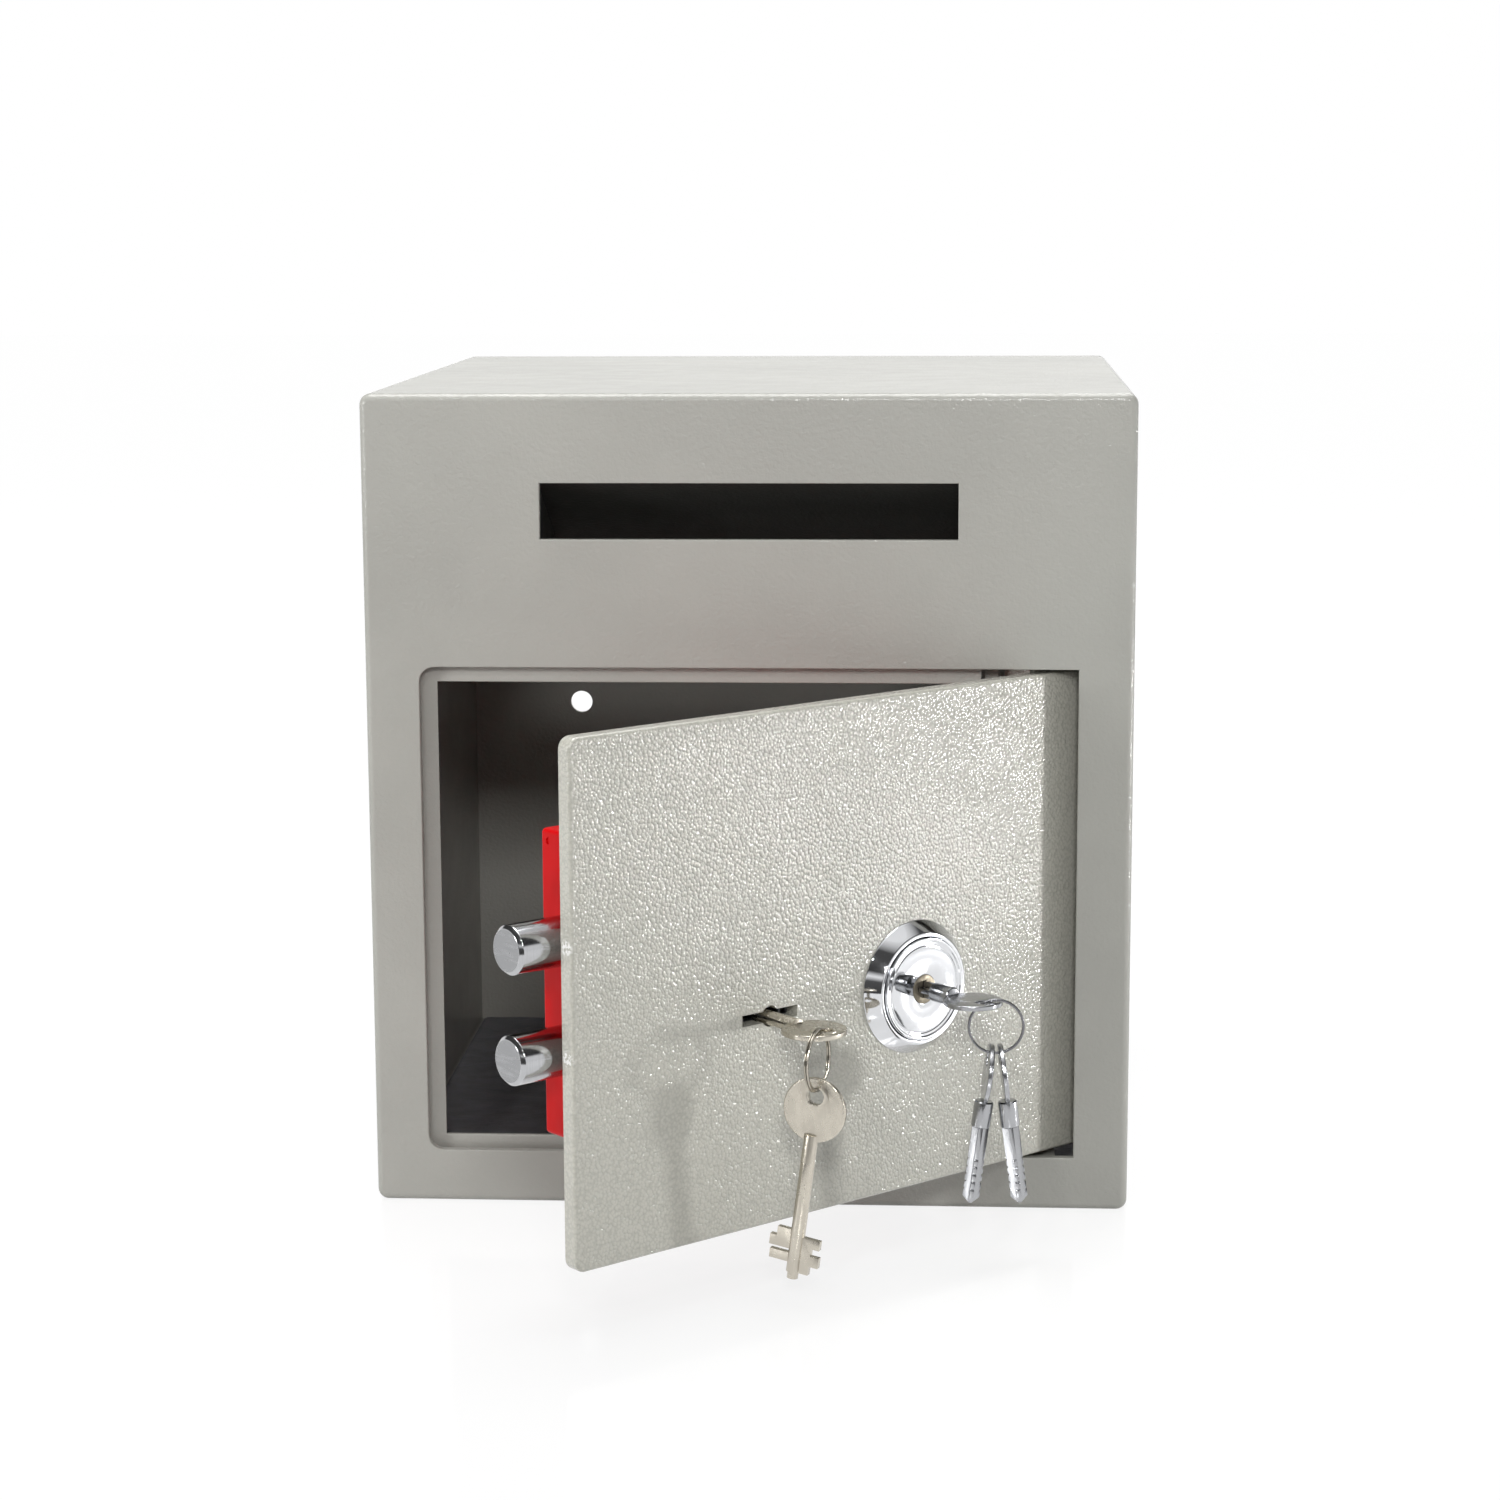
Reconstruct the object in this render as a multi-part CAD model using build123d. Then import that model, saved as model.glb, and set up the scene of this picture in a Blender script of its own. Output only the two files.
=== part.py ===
from build123d import *
from math import cos, radians, sin, sqrt, tan
import os

# A front-loading deposit safe with its door ajar, in millimetres.
# X runs to the right, Y to the back and Z up. The origin is the centre of the base.
# Every door piece is drawn with the door shut and then swung open about the hinge pins.

# Cabinet
width = 350.0
depth = 330.0
height = 377.0
sheet = 2.5
front_thickness = 4.0
corner_radius = 5.0
front_edge_round = 3.2
edge_round = 1.5
small_round = 0.6
anchor_hole_radius = 6.0
anchor_hole_spacing = 227.0
anchor_hole_height = 186.0
mat_thickness = 3.0
mat_margin = 1.5
mat_gap = 0.3

# Deposit slot and the hood behind it
slot_width = 189.0
slot_height = 25.4
slot_inset = 40.2
slot_offset = 0.8
hood_sheet = 1.5
hood_side_gap = 2.0
hood_lift = 3.5
hood_reach = 78.0
hood_angle = 27.0
hood_lip = 9.0
hood_cheek_drop = 4.6

# Door opening and the stop strips behind it
side_margin = 25.0
front_band = 58.6
opening_base = 24.8
opening_corner = 7.0
strip_sheet = 2.0
strip_side_show = 7.1
strip_top_show = 7.7
strip_bottom_show = 5.6
strip_cover = 9.0
strip_seat_gap = 0.3
hinge_pocket = 44.0

# Door
door_thickness = 7.0
door_free_gap = 1.5
door_hinge_gap = 3.7
door_level_gap = 2.0
door_corner = 5.5
door_hinge_corner = 1.5
door_angle = 43.4

# Hinge
hinge_inset = 25.2
hinge_depth = 20.0
pin_radius = 4.0
pin_fit = 0.05
press_fit_gap = 0.02
bush_wall = 2.0
bush_flange = 4.0
bush_flange_thickness = 1.0
bracket_sheet = 3.0
bracket_rise = 17.0
bracket_back = 14.0
bracket_side = 17.0
bracket_tab_width = 6.0
bracket_tab_drop = 7.0
bracket_tab_depth = 12.0
hinge_end_gap = 1.6
running_gap = 0.3
knuckle_radius = 8.0
knuckle_height = 24.0
pin_socket = 20.0
pin_stand = 1.5

# Bolts and their carriage
bolt_radius = 10.5
bolt_chamfer = 1.5
bolt_spacing = 46.4
bolt_lift = 0.6
bolt_depth = 21.4
bolt_reach = 17.0
carrier_place = 64.5
carrier_sheet = 4.0
carrier_depth = 22.0
carrier_height = 81.0
carrier_screw_radius = 3.0
carrier_screw_length = 14.0
carrier_screw_head = 2.5
guide_place = 23.5
guide_length = 25.5
guide_sheet = 3.0
guide_base = 2.0
guide_reach = 26.0

# Red housing over the bolt work
housing_place = 21.0
housing_length = 202.0
housing_height = 132.0
housing_reach = 41.5
housing_sheet = 1.5
housing_corner = 2.0
housing_dimple_radius = 1.5
housing_dimple_depth = 0.7
housing_dimple_inset = 5.0
bolt_hole_gap = 0.4
pillar_radius = 4.0
pillar_inset = 9.0
screw_radius = 2.0
screw_length = 12.0
screw_head_radius = 3.6
screw_head_height = 2.2
flush_head_radius = 3.2

# Lever lock and its keys
keyhole_place = 105.0
keyhole_lift = 0.8
keyhole_width = 30.6
keyhole_slot = 5.0
keyhole_eye_radius = 4.6
key_drop = 20.5
bow_radius = 14.0
bow_thickness = 2.4
bow_hole_radius = 3.8
bow_hole_offset = 6.1
bow_boss_radius = 5.8
bow_boss_rise = 0.3
bow_stand = 28.9
stem_radius = 3.1
stem_length = 40.0
bit_thickness = 2.6
bit_tip_radius = 2.4
bit_tip_length = 3.0
bit_length = 18.3
lock_case_left = 17.5
lock_case_right = 28.5
lock_case_below = 27.6
lock_case_above = 36.4
lock_case_reach = 36.8
lock_sheet = 2.0
lock_cap_sheet = 1.5
lock_boss_radius = 3.5
lock_boss_inset = 4.5
tail_start = 4.0
tail_sheet = 2.2
tail_low = 9.4
tail_height = 15.4
tail_gap = 0.3
talon_left = 15.0
talon_right = 1.4
talon_rise = 12.8
lever_count = 5
lever_sheet = 1.8
lever_pitch = 2.2
lever_start = 7.1
lever_window_radius = 13.0
lever_side = 1.2
lever_half_height = 16.0
lever_post_radius = 2.5
lever_post_place = 21.5
lever_corner = 5.0
curtain_radius = 13.6
curtain_sheet = 2.0
curtain_gap = 0.4

# Cylinder lock and its keys
cylinder_place = 188.2
cylinder_drop = 20.0
rosette_radius = 30.0
rosette_front_radius = 25.0
rosette_rise = 6.5
rosette_floor = 1.2
head_radius = 22.9
head_gap = 0.3
head_rise = 7.0
head_lip = 1.2
head_lip_rise = 0.5
barrel_radius = 11.0
barrel_gap = 0.2
barrel_reach = 27.5
nut_flats = 27.0
nut_height = 5.5
plug_radius = 6.5
plug_fit = 0.05
plug_proud = 0.3
plug_tail_radius = 3.0
keyway_gap = 0.15
keyway_reach = 23.0
cam_sheet = 3.0
cam_gap = 0.5
cam_hub_radius = 8.0
cam_arm_length = 27.0
cam_arm_width = 12.0
cam_block_gap = 1.0
cam_screw_radius = 2.0
cam_screw_head_radius = 4.0
cam_screw_head_height = 2.4
cross_bow_radius = 13.0
cross_bow_thickness = 2.2
cross_bow_hole_radius = 3.5
cross_bow_hole_offset = 6.5
cross_bow_stand = 38.0
collar_radius = 4.2
collar_overlap = 0.6
collar_length = 11.8
wing_thickness = 1.8
wing_span = 7.4
wing_length = 34.4
wing_tip = 3.0
wing_cut_pitch = 3.4
wing_cut_start = 12.0
wing_cut_depth = 0.8

# Split rings and the spare keys on them
lever_ring_radius = 12.7
lever_ring_wire = 0.95
lever_ring_rise = 1.7
lever_ring_turn = -62.7
lever_spare_lean = 8.0
cross_ring_radius = 11.8
cross_ring_wire = 0.6
cross_ring_rise = 1.0
cross_ring_turn = 50.3
cross_spare_lean = 7.4
cross_spare_spread = 2.2
hang_gap = 0.1

# Planes and edges that several pieces share
front = -depth / 2
back = depth / 2
plate_back = front + front_thickness
slot_base = height - slot_inset - slot_height
opening_width = width - 2 * side_margin
opening_left = -opening_width / 2
opening_right = opening_width / 2
opening_top = slot_base - front_band
opening_height = opening_top - opening_base
opening_middle = opening_base + opening_height / 2
key_height = opening_middle - key_drop
keyhole_height = key_height + keyhole_lift
cylinder_height = opening_middle - cylinder_drop
free_edge = opening_left + door_free_gap
door_width = opening_width - door_free_gap - door_hinge_gap
door_height = opening_height - 2 * door_level_gap
door_back = front + door_thickness
strip_front = door_back + strip_seat_gap
hinge_x = opening_right - hinge_inset
hinge_y = front + hinge_depth
bush_radius = pin_radius + pin_fit + bush_wall
bush_flange_top = opening_top + hinge_end_gap
knuckle_end = bush_flange_top - bush_flange_thickness - running_gap
key_x = free_edge + keyhole_place
key_bow_y = front - bow_stand
bits_y = key_bow_y + bow_radius + stem_length
tail_y = bits_y + tail_start
cylinder_x = free_edge + cylinder_place
cross_bow_y = front - cross_bow_stand
housing_left = free_edge + housing_place
housing_right = housing_left + housing_length
housing_back = door_back + housing_reach
carrier_left = free_edge + carrier_place
case_left = key_x - lock_case_left
case_right = key_x + lock_case_right
case_low = key_height - lock_case_below
case_high = key_height + lock_case_above
case_back = door_back + lock_case_reach
bolt_middle = opening_middle + bolt_lift
bolt_heights = [bolt_middle - bolt_spacing / 2, bolt_middle + bolt_spacing / 2]
tail_right = cylinder_x - cam_arm_width / 2 - cam_block_gap


def block(x_low, x_high, y_low, y_high, z_low, z_high):
    """A box between two corners."""
    size = (x_high - x_low, y_high - y_low, z_high - z_low)
    middle = ((x_low + x_high) / 2, (y_low + y_high) / 2, (z_low + z_high) / 2)
    return Pos(*middle) * Box(*size)


def upright(outline, y_low, y_high):
    """An outline drawn in X and Z, made solid from y_low to y_high."""
    return extrude(Plane.XZ.offset(-y_high) * outline, y_high - y_low)


def sideways(outline, x_low, x_high):
    """An outline drawn in Y and Z, made solid from x_low to x_high."""
    return extrude(Plane.YZ.offset(x_low) * outline, x_high - x_low)


def rod(x, z, radius, y_low, y_high):
    """A round bar along Y."""
    return upright(Pos(x, z) * Circle(radius), y_low, y_high)


def front_edges(plate):
    """The edges round the outside of a plate's front face."""
    return plate.faces().sort_by(Axis.Y)[0].outer_wire().edges()


def cabinet_outline(inset):
    """The cabinet's rounded outline seen from the front, drawn in by inset."""
    sheet_outline = RectangleRounded(width - 2 * inset, height - 2 * inset, corner_radius - inset)
    return Pos(0, height / 2) * sheet_outline


def body_shell():
    """The sides, top and bottom, bent from one sheet."""
    return upright(cabinet_outline(0) - cabinet_outline(sheet), plate_back, back)


def opening_outline():
    """The door opening, with its two free-side corners rounded."""
    outline = Pos(0, opening_middle) * Rectangle(opening_width, opening_height)
    return fillet(outline.vertices().group_by(Axis.X)[0], opening_corner)


def front_plate():
    """The front plate with the door opening and the deposit slot."""
    slot = Pos(slot_offset, slot_base + slot_height / 2) * Rectangle(slot_width, slot_height)
    plate = upright(cabinet_outline(0) - opening_outline() - slot, front, plate_back)
    face = plate.faces().sort_by(Axis.Y)[0]
    plate = fillet(face.outer_wire().edges(), front_edge_round)
    face = plate.faces().sort_by(Axis.Y)[0]
    inner_edges = [edge for wire in face.inner_wires() for edge in wire.edges()]
    return fillet(inner_edges, small_round)


def back_panel():
    """The back panel with its two wall anchor holes."""
    panel = upright(cabinet_outline(sheet), back - sheet, back)
    for x in (-anchor_hole_spacing / 2, anchor_hole_spacing / 2):
        panel -= rod(x, anchor_hole_height, anchor_hole_radius, back - 2 * sheet, back + sheet)
    return panel


def slot_hood():
    """The sloping hood behind the slot, with two side cheeks and a lip on the front plate."""
    top = slot_base + slot_height + hood_lift
    end = plate_back + hood_reach
    fall = hood_reach * tan(radians(hood_angle))
    rise = hood_sheet / cos(radians(hood_angle))
    slope = Polygon(
        (plate_back, top),
        (end, top - fall),
        (end, top - fall + rise),
        (plate_back, top + rise),
        align=None,
    )
    cheek = Polygon(
        (plate_back, top),
        (plate_back, top - fall - hood_cheek_drop),
        (end, top - fall - hood_cheek_drop),
        (end, top - fall),
        align=None,
    )
    left = slot_offset - slot_width / 2 - hood_side_gap
    right = slot_offset + slot_width / 2 + hood_side_gap
    hood = sideways(slope, left - hood_sheet, right + hood_sheet)
    hood += sideways(cheek, left - hood_sheet, left)
    hood += sideways(cheek, right, right + hood_sheet)
    lip_low = top + rise / 2
    hood += block(left, right, plate_back, plate_back + hood_sheet, lip_low, top + hood_lip)
    return hood


def floor_mat():
    """The felt mat on the floor of the cabinet."""
    side = width / 2 - sheet - mat_margin
    mat_front = plate_back + mat_margin
    mat_back = back - sheet - mat_margin
    low = sheet + mat_gap
    return block(-side, side, mat_front, mat_back, low, low + mat_thickness)


def stop_strip_left():
    """The full-height stop strip on the free side, an angle with its leg on the front plate."""
    outer = opening_left - strip_cover
    inner = opening_left + strip_side_show
    low = opening_base - strip_cover
    high = opening_top + strip_cover
    strip = block(outer, inner, strip_front, strip_front + strip_sheet, low, high)
    return strip + block(outer, outer + strip_sheet, plate_back, strip_front, low, high)


def level_strip(edge, outer):
    """A level stop strip from the left strip to the hinge pocket."""
    left = opening_left + strip_side_show
    right = opening_right - hinge_pocket
    low, high = sorted((edge, outer))
    strip = block(left, right, strip_front, strip_front + strip_sheet, low, high)
    shown = strip.edges().filter_by(Axis.X).sort_by(Axis.Y)[:2]
    strip = fillet(shown.sort_by(lambda e: abs(e.center().Z - edge))[0], small_round)
    leg_low, leg_high = sorted((outer, outer + (strip_sheet if outer < edge else -strip_sheet)))
    return strip + block(left, right, plate_back, strip_front, leg_low, leg_high)


def stop_strip_top():
    """The stop strip above the door."""
    return level_strip(opening_top - strip_top_show, opening_top + strip_cover)


def stop_strip_bottom():
    """The stop strip below the door."""
    return level_strip(opening_base + strip_bottom_show, opening_base - strip_cover)


def hinge_bracket():
    """The upper bracket behind the front plate, with a bush hole and a tab beside the pocket."""
    low = bush_flange_top
    left = hinge_x - bracket_side
    right = hinge_x + bracket_side
    shelf = block(left, right, plate_back, hinge_y + bracket_back, low, low + bracket_sheet)
    wall = block(left, right, plate_back, plate_back + bracket_sheet, low, low + bracket_rise)
    tab_front = front + bracket_tab_depth
    tab_low = opening_top - bracket_tab_drop
    tab = block(left, left + bracket_tab_width, tab_front, tab_front + bracket_sheet, tab_low, low)
    hole = Pos(hinge_x, hinge_y, low) * Cylinder(bush_radius, 3 * bracket_sheet)
    return shelf + wall + tab - hole


def hinge_bush():
    """The upper flanged bush that the hinge pin turns in."""
    flange = Pos(hinge_x, hinge_y, bush_flange_top - bush_flange_thickness / 2)
    sleeve = Pos(hinge_x, hinge_y, bush_flange_top + bracket_sheet / 2)
    bush = flange * Cylinder(pin_radius + bush_flange, bush_flange_thickness)
    bush += sleeve * Cylinder(bush_radius - press_fit_gap, bracket_sheet)
    return bush - sleeve * Cylinder(pin_radius + pin_fit, 4 * bracket_sheet)


def hinge_knuckle():
    """The upper door knuckle, a round boss with a web to the back of the door plate."""
    boss = Pos(hinge_x, hinge_y) * Circle(knuckle_radius)
    web_middle = (door_back + hinge_y) / 2
    web = Pos(hinge_x, web_middle) * Rectangle(2 * knuckle_radius, hinge_y - door_back)
    knuckle = Pos(0, 0, knuckle_end - knuckle_height) * extrude(boss + web, knuckle_height)
    socket = Pos(hinge_x, hinge_y, knuckle_end) * Cylinder(pin_radius + press_fit_gap, 2 * pin_socket)
    return knuckle - socket


def hinge_pin():
    """The upper hinge pin, fixed in the knuckle and free in the bush."""
    low = knuckle_end - pin_socket
    high = bush_flange_top + bracket_sheet + pin_stand
    pin = Pos(hinge_x, hinge_y, (low + high) / 2) * Cylinder(pin_radius, high - low)
    return chamfer(pin.edges().sort_by(Axis.Z)[-1], small_round)


def below(piece):
    """The lower twin of an upper hinge piece, mirrored about the middle of the opening."""
    return mirror(piece, about=Plane.XY.offset(opening_middle))


def keyhole_outline(grow=0.0):
    """The keyhole: a level slot with a round eye."""
    slot = Rectangle(keyhole_width + 2 * grow, keyhole_slot + 2 * grow)
    return Pos(key_x, keyhole_height) * (slot + Circle(keyhole_eye_radius + grow))


def door_plate():
    """The flush door plate with its keyhole and the hole for the cylinder lock."""
    outline = Rectangle(door_width, door_height)
    outline = fillet(outline.vertices().group_by(Axis.X)[0], door_corner)
    outline = fillet(outline.vertices().group_by(Axis.X)[-1], door_hinge_corner)
    outline = Pos(free_edge + door_width / 2, opening_middle) * outline
    outline -= keyhole_outline()
    outline -= Pos(cylinder_x, cylinder_height) * Circle(barrel_radius + barrel_gap)
    plate = upright(outline, front, door_back)
    return fillet(front_edges(plate), edge_round)


def bolt_housing():
    """The red pressed cover over the bolt work, open towards the door plate."""
    middle_x = (housing_left + housing_right) / 2
    outer = RectangleRounded(housing_length, housing_height, housing_corner)
    inner = Rectangle(housing_length - 2 * housing_sheet, housing_height - 2 * housing_sheet)
    cover = upright(Pos(middle_x, opening_middle) * outer, door_back, housing_back)
    cover = fillet(cover.faces().sort_by(Axis.Y)[-1].outer_wire().edges(), edge_round)
    hollow = Pos(middle_x, opening_middle) * inner
    cover -= upright(hollow, door_back, housing_back - housing_sheet)
    for z in bolt_heights:
        hole = Pos(housing_left, front + bolt_depth, z) * Rot(0, 90, 0)
        cover -= hole * Cylinder(bolt_radius + bolt_hole_gap, 4 * housing_sheet)
    for x, z in pillar_places():
        cover -= rod(x, z, screw_radius + barrel_gap, door_back, housing_back)
    dimple_y = housing_back - housing_dimple_inset
    dimple_z = opening_middle + housing_height / 2 - housing_dimple_inset
    dimple = Pos(housing_left, dimple_y, dimple_z) * Rot(0, 90, 0)
    return cover - dimple * Cylinder(housing_dimple_radius, 2 * housing_dimple_depth)


def pillar_places():
    """The four corners where the housing is screwed down."""
    inner_left = housing_left + pillar_inset
    inner_right = housing_right - pillar_inset
    rise = housing_height / 2 - pillar_inset
    heights = (opening_middle - rise, opening_middle + rise)
    return [(x, z) for x in (inner_left, inner_right) for z in heights]


def screw(x, z, seat):
    """A round-headed screw along Y with its head behind the seat plane."""
    shank = rod(x, z, screw_radius, seat - screw_length, seat)
    head = rod(x, z, screw_head_radius, seat, seat + screw_head_height)
    head = fillet(head.edges().sort_by(Axis.Y)[-1], small_round)
    drive = screw_head_height / 2
    slot = block(x - screw_head_radius, x + screw_head_radius, seat + drive,
                 seat + screw_head_height, z - small_round / 2, z + small_round / 2)
    return shank + head - slot


def housing_pillars():
    """Four threaded pillars on the door plate that carry the housing."""
    high = housing_back - housing_sheet
    pillars = []
    for x, z in pillar_places():
        bore = rod(x, z, screw_radius + press_fit_gap, high - screw_length, high)
        pillars.append(rod(x, z, pillar_radius, door_back, high) - bore)
    return pillars


def housing_screws():
    """Four screws through the back of the housing into its pillars."""
    return [screw(x, z, housing_back) for x, z in pillar_places()]


def bolt_guide():
    """A bent guide on the door plate whose two walls carry the bolts."""
    left = free_edge + guide_place
    right = left + guide_length
    low = bolt_middle - carrier_height / 2
    high = bolt_middle + carrier_height / 2
    guide = block(left, right, door_back, door_back + guide_base, low, high)
    for x in (left, right - guide_sheet):
        guide += block(x, x + guide_sheet, door_back, door_back + guide_reach, low, high)
    for z in bolt_heights:
        bore = Pos((left + right) / 2, front + bolt_depth, z) * Rot(0, 90, 0)
        guide -= bore * Cylinder(bolt_radius + pin_fit, 2 * guide_length)
    return guide


def round_bolt(z):
    """One locking bolt, chamfered at its end and bored for the carrier screw."""
    end = free_edge - bolt_reach
    length = carrier_left - end
    place = Pos((end + carrier_left) / 2, front + bolt_depth, z) * Rot(0, 90, 0)
    bolt = place * Cylinder(bolt_radius, length)
    bolt = chamfer(bolt.edges().sort_by(Axis.X)[0], bolt_chamfer)
    bore_length = carrier_screw_length - carrier_sheet
    bore = Pos(carrier_left - bore_length / 2, front + bolt_depth, z) * Rot(0, 90, 0)
    return bolt - bore * Cylinder(carrier_screw_radius + press_fit_gap, bore_length)


def carrier_screw(z, grow=0.0):
    """A countersunk screw along X, flush with the right face of the carrier."""
    right = carrier_left + carrier_sheet
    shank_place = Pos(right - carrier_screw_length / 2, front + bolt_depth, z) * Rot(0, 90, 0)
    head_place = Pos(right - carrier_screw_head / 2, front + bolt_depth, z) * Rot(0, 90, 0)
    shank = shank_place * Cylinder(carrier_screw_radius + grow, carrier_screw_length)
    top_radius = carrier_screw_radius + carrier_screw_head + grow
    return shank + head_place * Cone(carrier_screw_radius + grow, top_radius, carrier_screw_head)


def bolt_carrier():
    """The plate that joins the two bolts to the lock's tail."""
    low = bolt_middle - carrier_height / 2
    high = bolt_middle + carrier_height / 2
    near = front + bolt_depth - bolt_radius
    plate = block(carrier_left, carrier_left + carrier_sheet, near, near + carrier_depth, low, high)
    for z in bolt_heights:
        plate -= carrier_screw(z, press_fit_gap)
    return plate


def carrier_screws():
    """The two screws that hold the bolts on the carrier."""
    return [carrier_screw(z) for z in bolt_heights]


def lock_tail():
    """The flat tail from the carrier through the lever lock, with the talon notch for the key."""
    left = carrier_left + carrier_sheet
    low = key_height + tail_low
    tail = block(left, tail_right, tail_y, tail_y + tail_sheet, low, low + tail_height)
    notch_top = key_height + talon_rise
    notch = block(key_x - talon_left, key_x - talon_right, tail_y - tail_sheet,
                  tail_y + 2 * tail_sheet, low - tail_sheet, notch_top)
    return tail - notch


def boss_places():
    """The four corner bosses of the lever lock."""
    xs = (case_left + lock_boss_inset, case_right - lock_boss_inset)
    zs = (case_low + lock_boss_inset, case_high - lock_boss_inset)
    return [(x, z) for x in xs for z in zs]


def lock_case():
    """The lever lock's case, open at the back, with slots for the tail and corner bosses."""
    case = block(case_left, case_right, door_back, case_back, case_low, case_high)
    floor = door_back + lock_sheet
    case -= block(case_left + lock_sheet, case_right - lock_sheet, floor, case_back,
                  case_low + lock_sheet, case_high - lock_sheet)
    case -= upright(keyhole_outline(), door_back, floor)
    low = key_height + tail_low
    case -= block(case_left - lock_sheet, case_right + lock_sheet, tail_y - tail_gap,
                  tail_y + tail_sheet + tail_gap, low - tail_gap, low + tail_height + tail_gap)
    for x, z in boss_places():
        case += rod(x, z, lock_boss_radius, floor, case_back)
        case -= rod(x, z, screw_radius + press_fit_gap, case_back - screw_length, case_back)
    return case


def lock_cap():
    """The cover plate on the back of the lever lock, with a hole for the key's tip."""
    face = case_back + lock_cap_sheet
    cap = block(case_left, case_right, case_back, face, case_low, case_high)
    cap -= rod(key_x, key_height, bit_tip_radius + tail_gap, case_back, face)
    for x, z in boss_places():
        cap -= flush_screw(x, z, face, press_fit_gap)
    return cap


def flush_screw(x, z, face, grow=0.0):
    """A countersunk screw along Y, flush with the back of the lock cap."""
    length = screw_length + lock_cap_sheet
    shank = rod(x, z, screw_radius + grow, face - length, face)
    head_place = Pos(x, face - lock_cap_sheet / 2, z) * Rot(-90, 0, 0)
    return shank + head_place * Cone(screw_radius + grow, flush_head_radius + grow, lock_cap_sheet)


def lock_screws():
    """Four screws that hold the cap on the lock case."""
    return [flush_screw(x, z, case_back + lock_cap_sheet) for x, z in boss_places()]


def lever_post():
    """The post in the lock case that the levers turn on."""
    x = key_x + lever_post_place
    return rod(x, key_height, lever_post_radius, door_back + lock_sheet, case_back)


def lock_levers():
    """The pack of flat levers, each with a window round the key."""
    post = Pos(lever_post_place, 0) * Circle(lever_post_radius + pin_fit)
    left = -lever_window_radius - lever_side
    right = lever_post_place + lever_post_radius + lever_side
    plate = Pos((left + right) / 2, 0) * Rectangle(right - left, 2 * lever_half_height)
    plate = fillet(plate.vertices(), lever_corner)
    outline = Pos(key_x, key_height) * (plate - Circle(lever_window_radius) - post)
    levers = []
    for number in range(lever_count):
        y = bits_y + lever_start + number * lever_pitch
        levers.append(upright(outline, y, y + lever_sheet))
    return levers


def lock_curtain():
    """The disc behind the keyhole that turns with the lever key, slotted for its bits."""
    low = door_back + lock_sheet + curtain_gap
    reach = max(step[2] for step in left_bit_steps() + right_bit_steps()) + curtain_gap
    slot = Rectangle(2 * reach, bit_thickness + 2 * curtain_gap)
    slot = slot + Circle(stem_radius + pin_fit)
    outline = Pos(key_x, key_height) * (Circle(curtain_radius) - slot)
    return upright(outline, low, low + curtain_sheet)


def lever_key():
    """A double-bit key along +Y: bow centre at the origin, bow and bits level."""
    bow = Cylinder(bow_radius, bow_thickness)
    hole_place = Pos(0, -bow_hole_offset, 0)
    bow += hole_place * Cylinder(bow_boss_radius, bow_thickness + 2 * bow_boss_rise)
    bow = fillet(bow.edges().filter_by(GeomType.CIRCLE).sort_by(SortBy.LENGTH)[-2:], small_round)
    stem_end = bow_radius + stem_length + bit_length
    stem = Plane.XZ.offset(-stem_end) * Circle(stem_radius)
    key = bow + extrude(stem, stem_end - bow_radius + stem_radius)
    tip = Plane.XZ.offset(-stem_end - bit_tip_length) * Circle(bit_tip_radius)
    key += extrude(tip, bit_tip_length)
    start = bow_radius + stem_length
    for side, steps in ((-1, left_bit_steps()), (1, right_bit_steps())):
        for near, far, reach in steps:
            bit = Box(reach, far - near, bit_thickness, align=(Align.MIN, Align.MIN, Align.CENTER))
            x = 0 if side > 0 else -reach
            key += Pos(x, start + near, 0) * bit
    return key - hole_place * Cylinder(bow_hole_radius, 4 * bow_thickness)


def left_bit_steps():
    """Start, end and reach of each tooth on the left of a lever key, from the bow outwards."""
    return [(0.0, 4.0, 9.0), (4.0, 8.6, 12.0), (10.4, 14.4, 11.3)]


def right_bit_steps():
    """Start, end and reach of each tooth on the right of a lever key."""
    return [(2.3, 6.4, 10.6), (6.4, 9.7, 7.0), (9.7, 14.3, 11.0), (14.3, 18.3, 7.0)]


def cross_key():
    """A cross-bladed key along +Y: bow centre at the origin, bow level."""
    bow = Cylinder(cross_bow_radius, cross_bow_thickness)
    bow = fillet(bow.edges().filter_by(GeomType.CIRCLE), small_round)
    collar_start = cross_bow_radius - collar_overlap
    blade_start = collar_start + collar_length
    collar = Pos(0, collar_start + collar_length / 2, 0) * Rot(90, 0, 0)
    collar = collar * Cylinder(collar_radius, collar_length)
    collar = chamfer(collar.edges().filter_by(GeomType.CIRCLE), small_round)
    upright_wing = sideways(wing_outline(blade_start), -wing_thickness / 2, wing_thickness / 2)
    blade = upright_wing + Rot(0, 90, 0) * upright_wing
    hole = Pos(0, -cross_bow_hole_offset, 0)
    return bow + collar + blade - hole * Cylinder(cross_bow_hole_radius, 4 * cross_bow_thickness)


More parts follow.
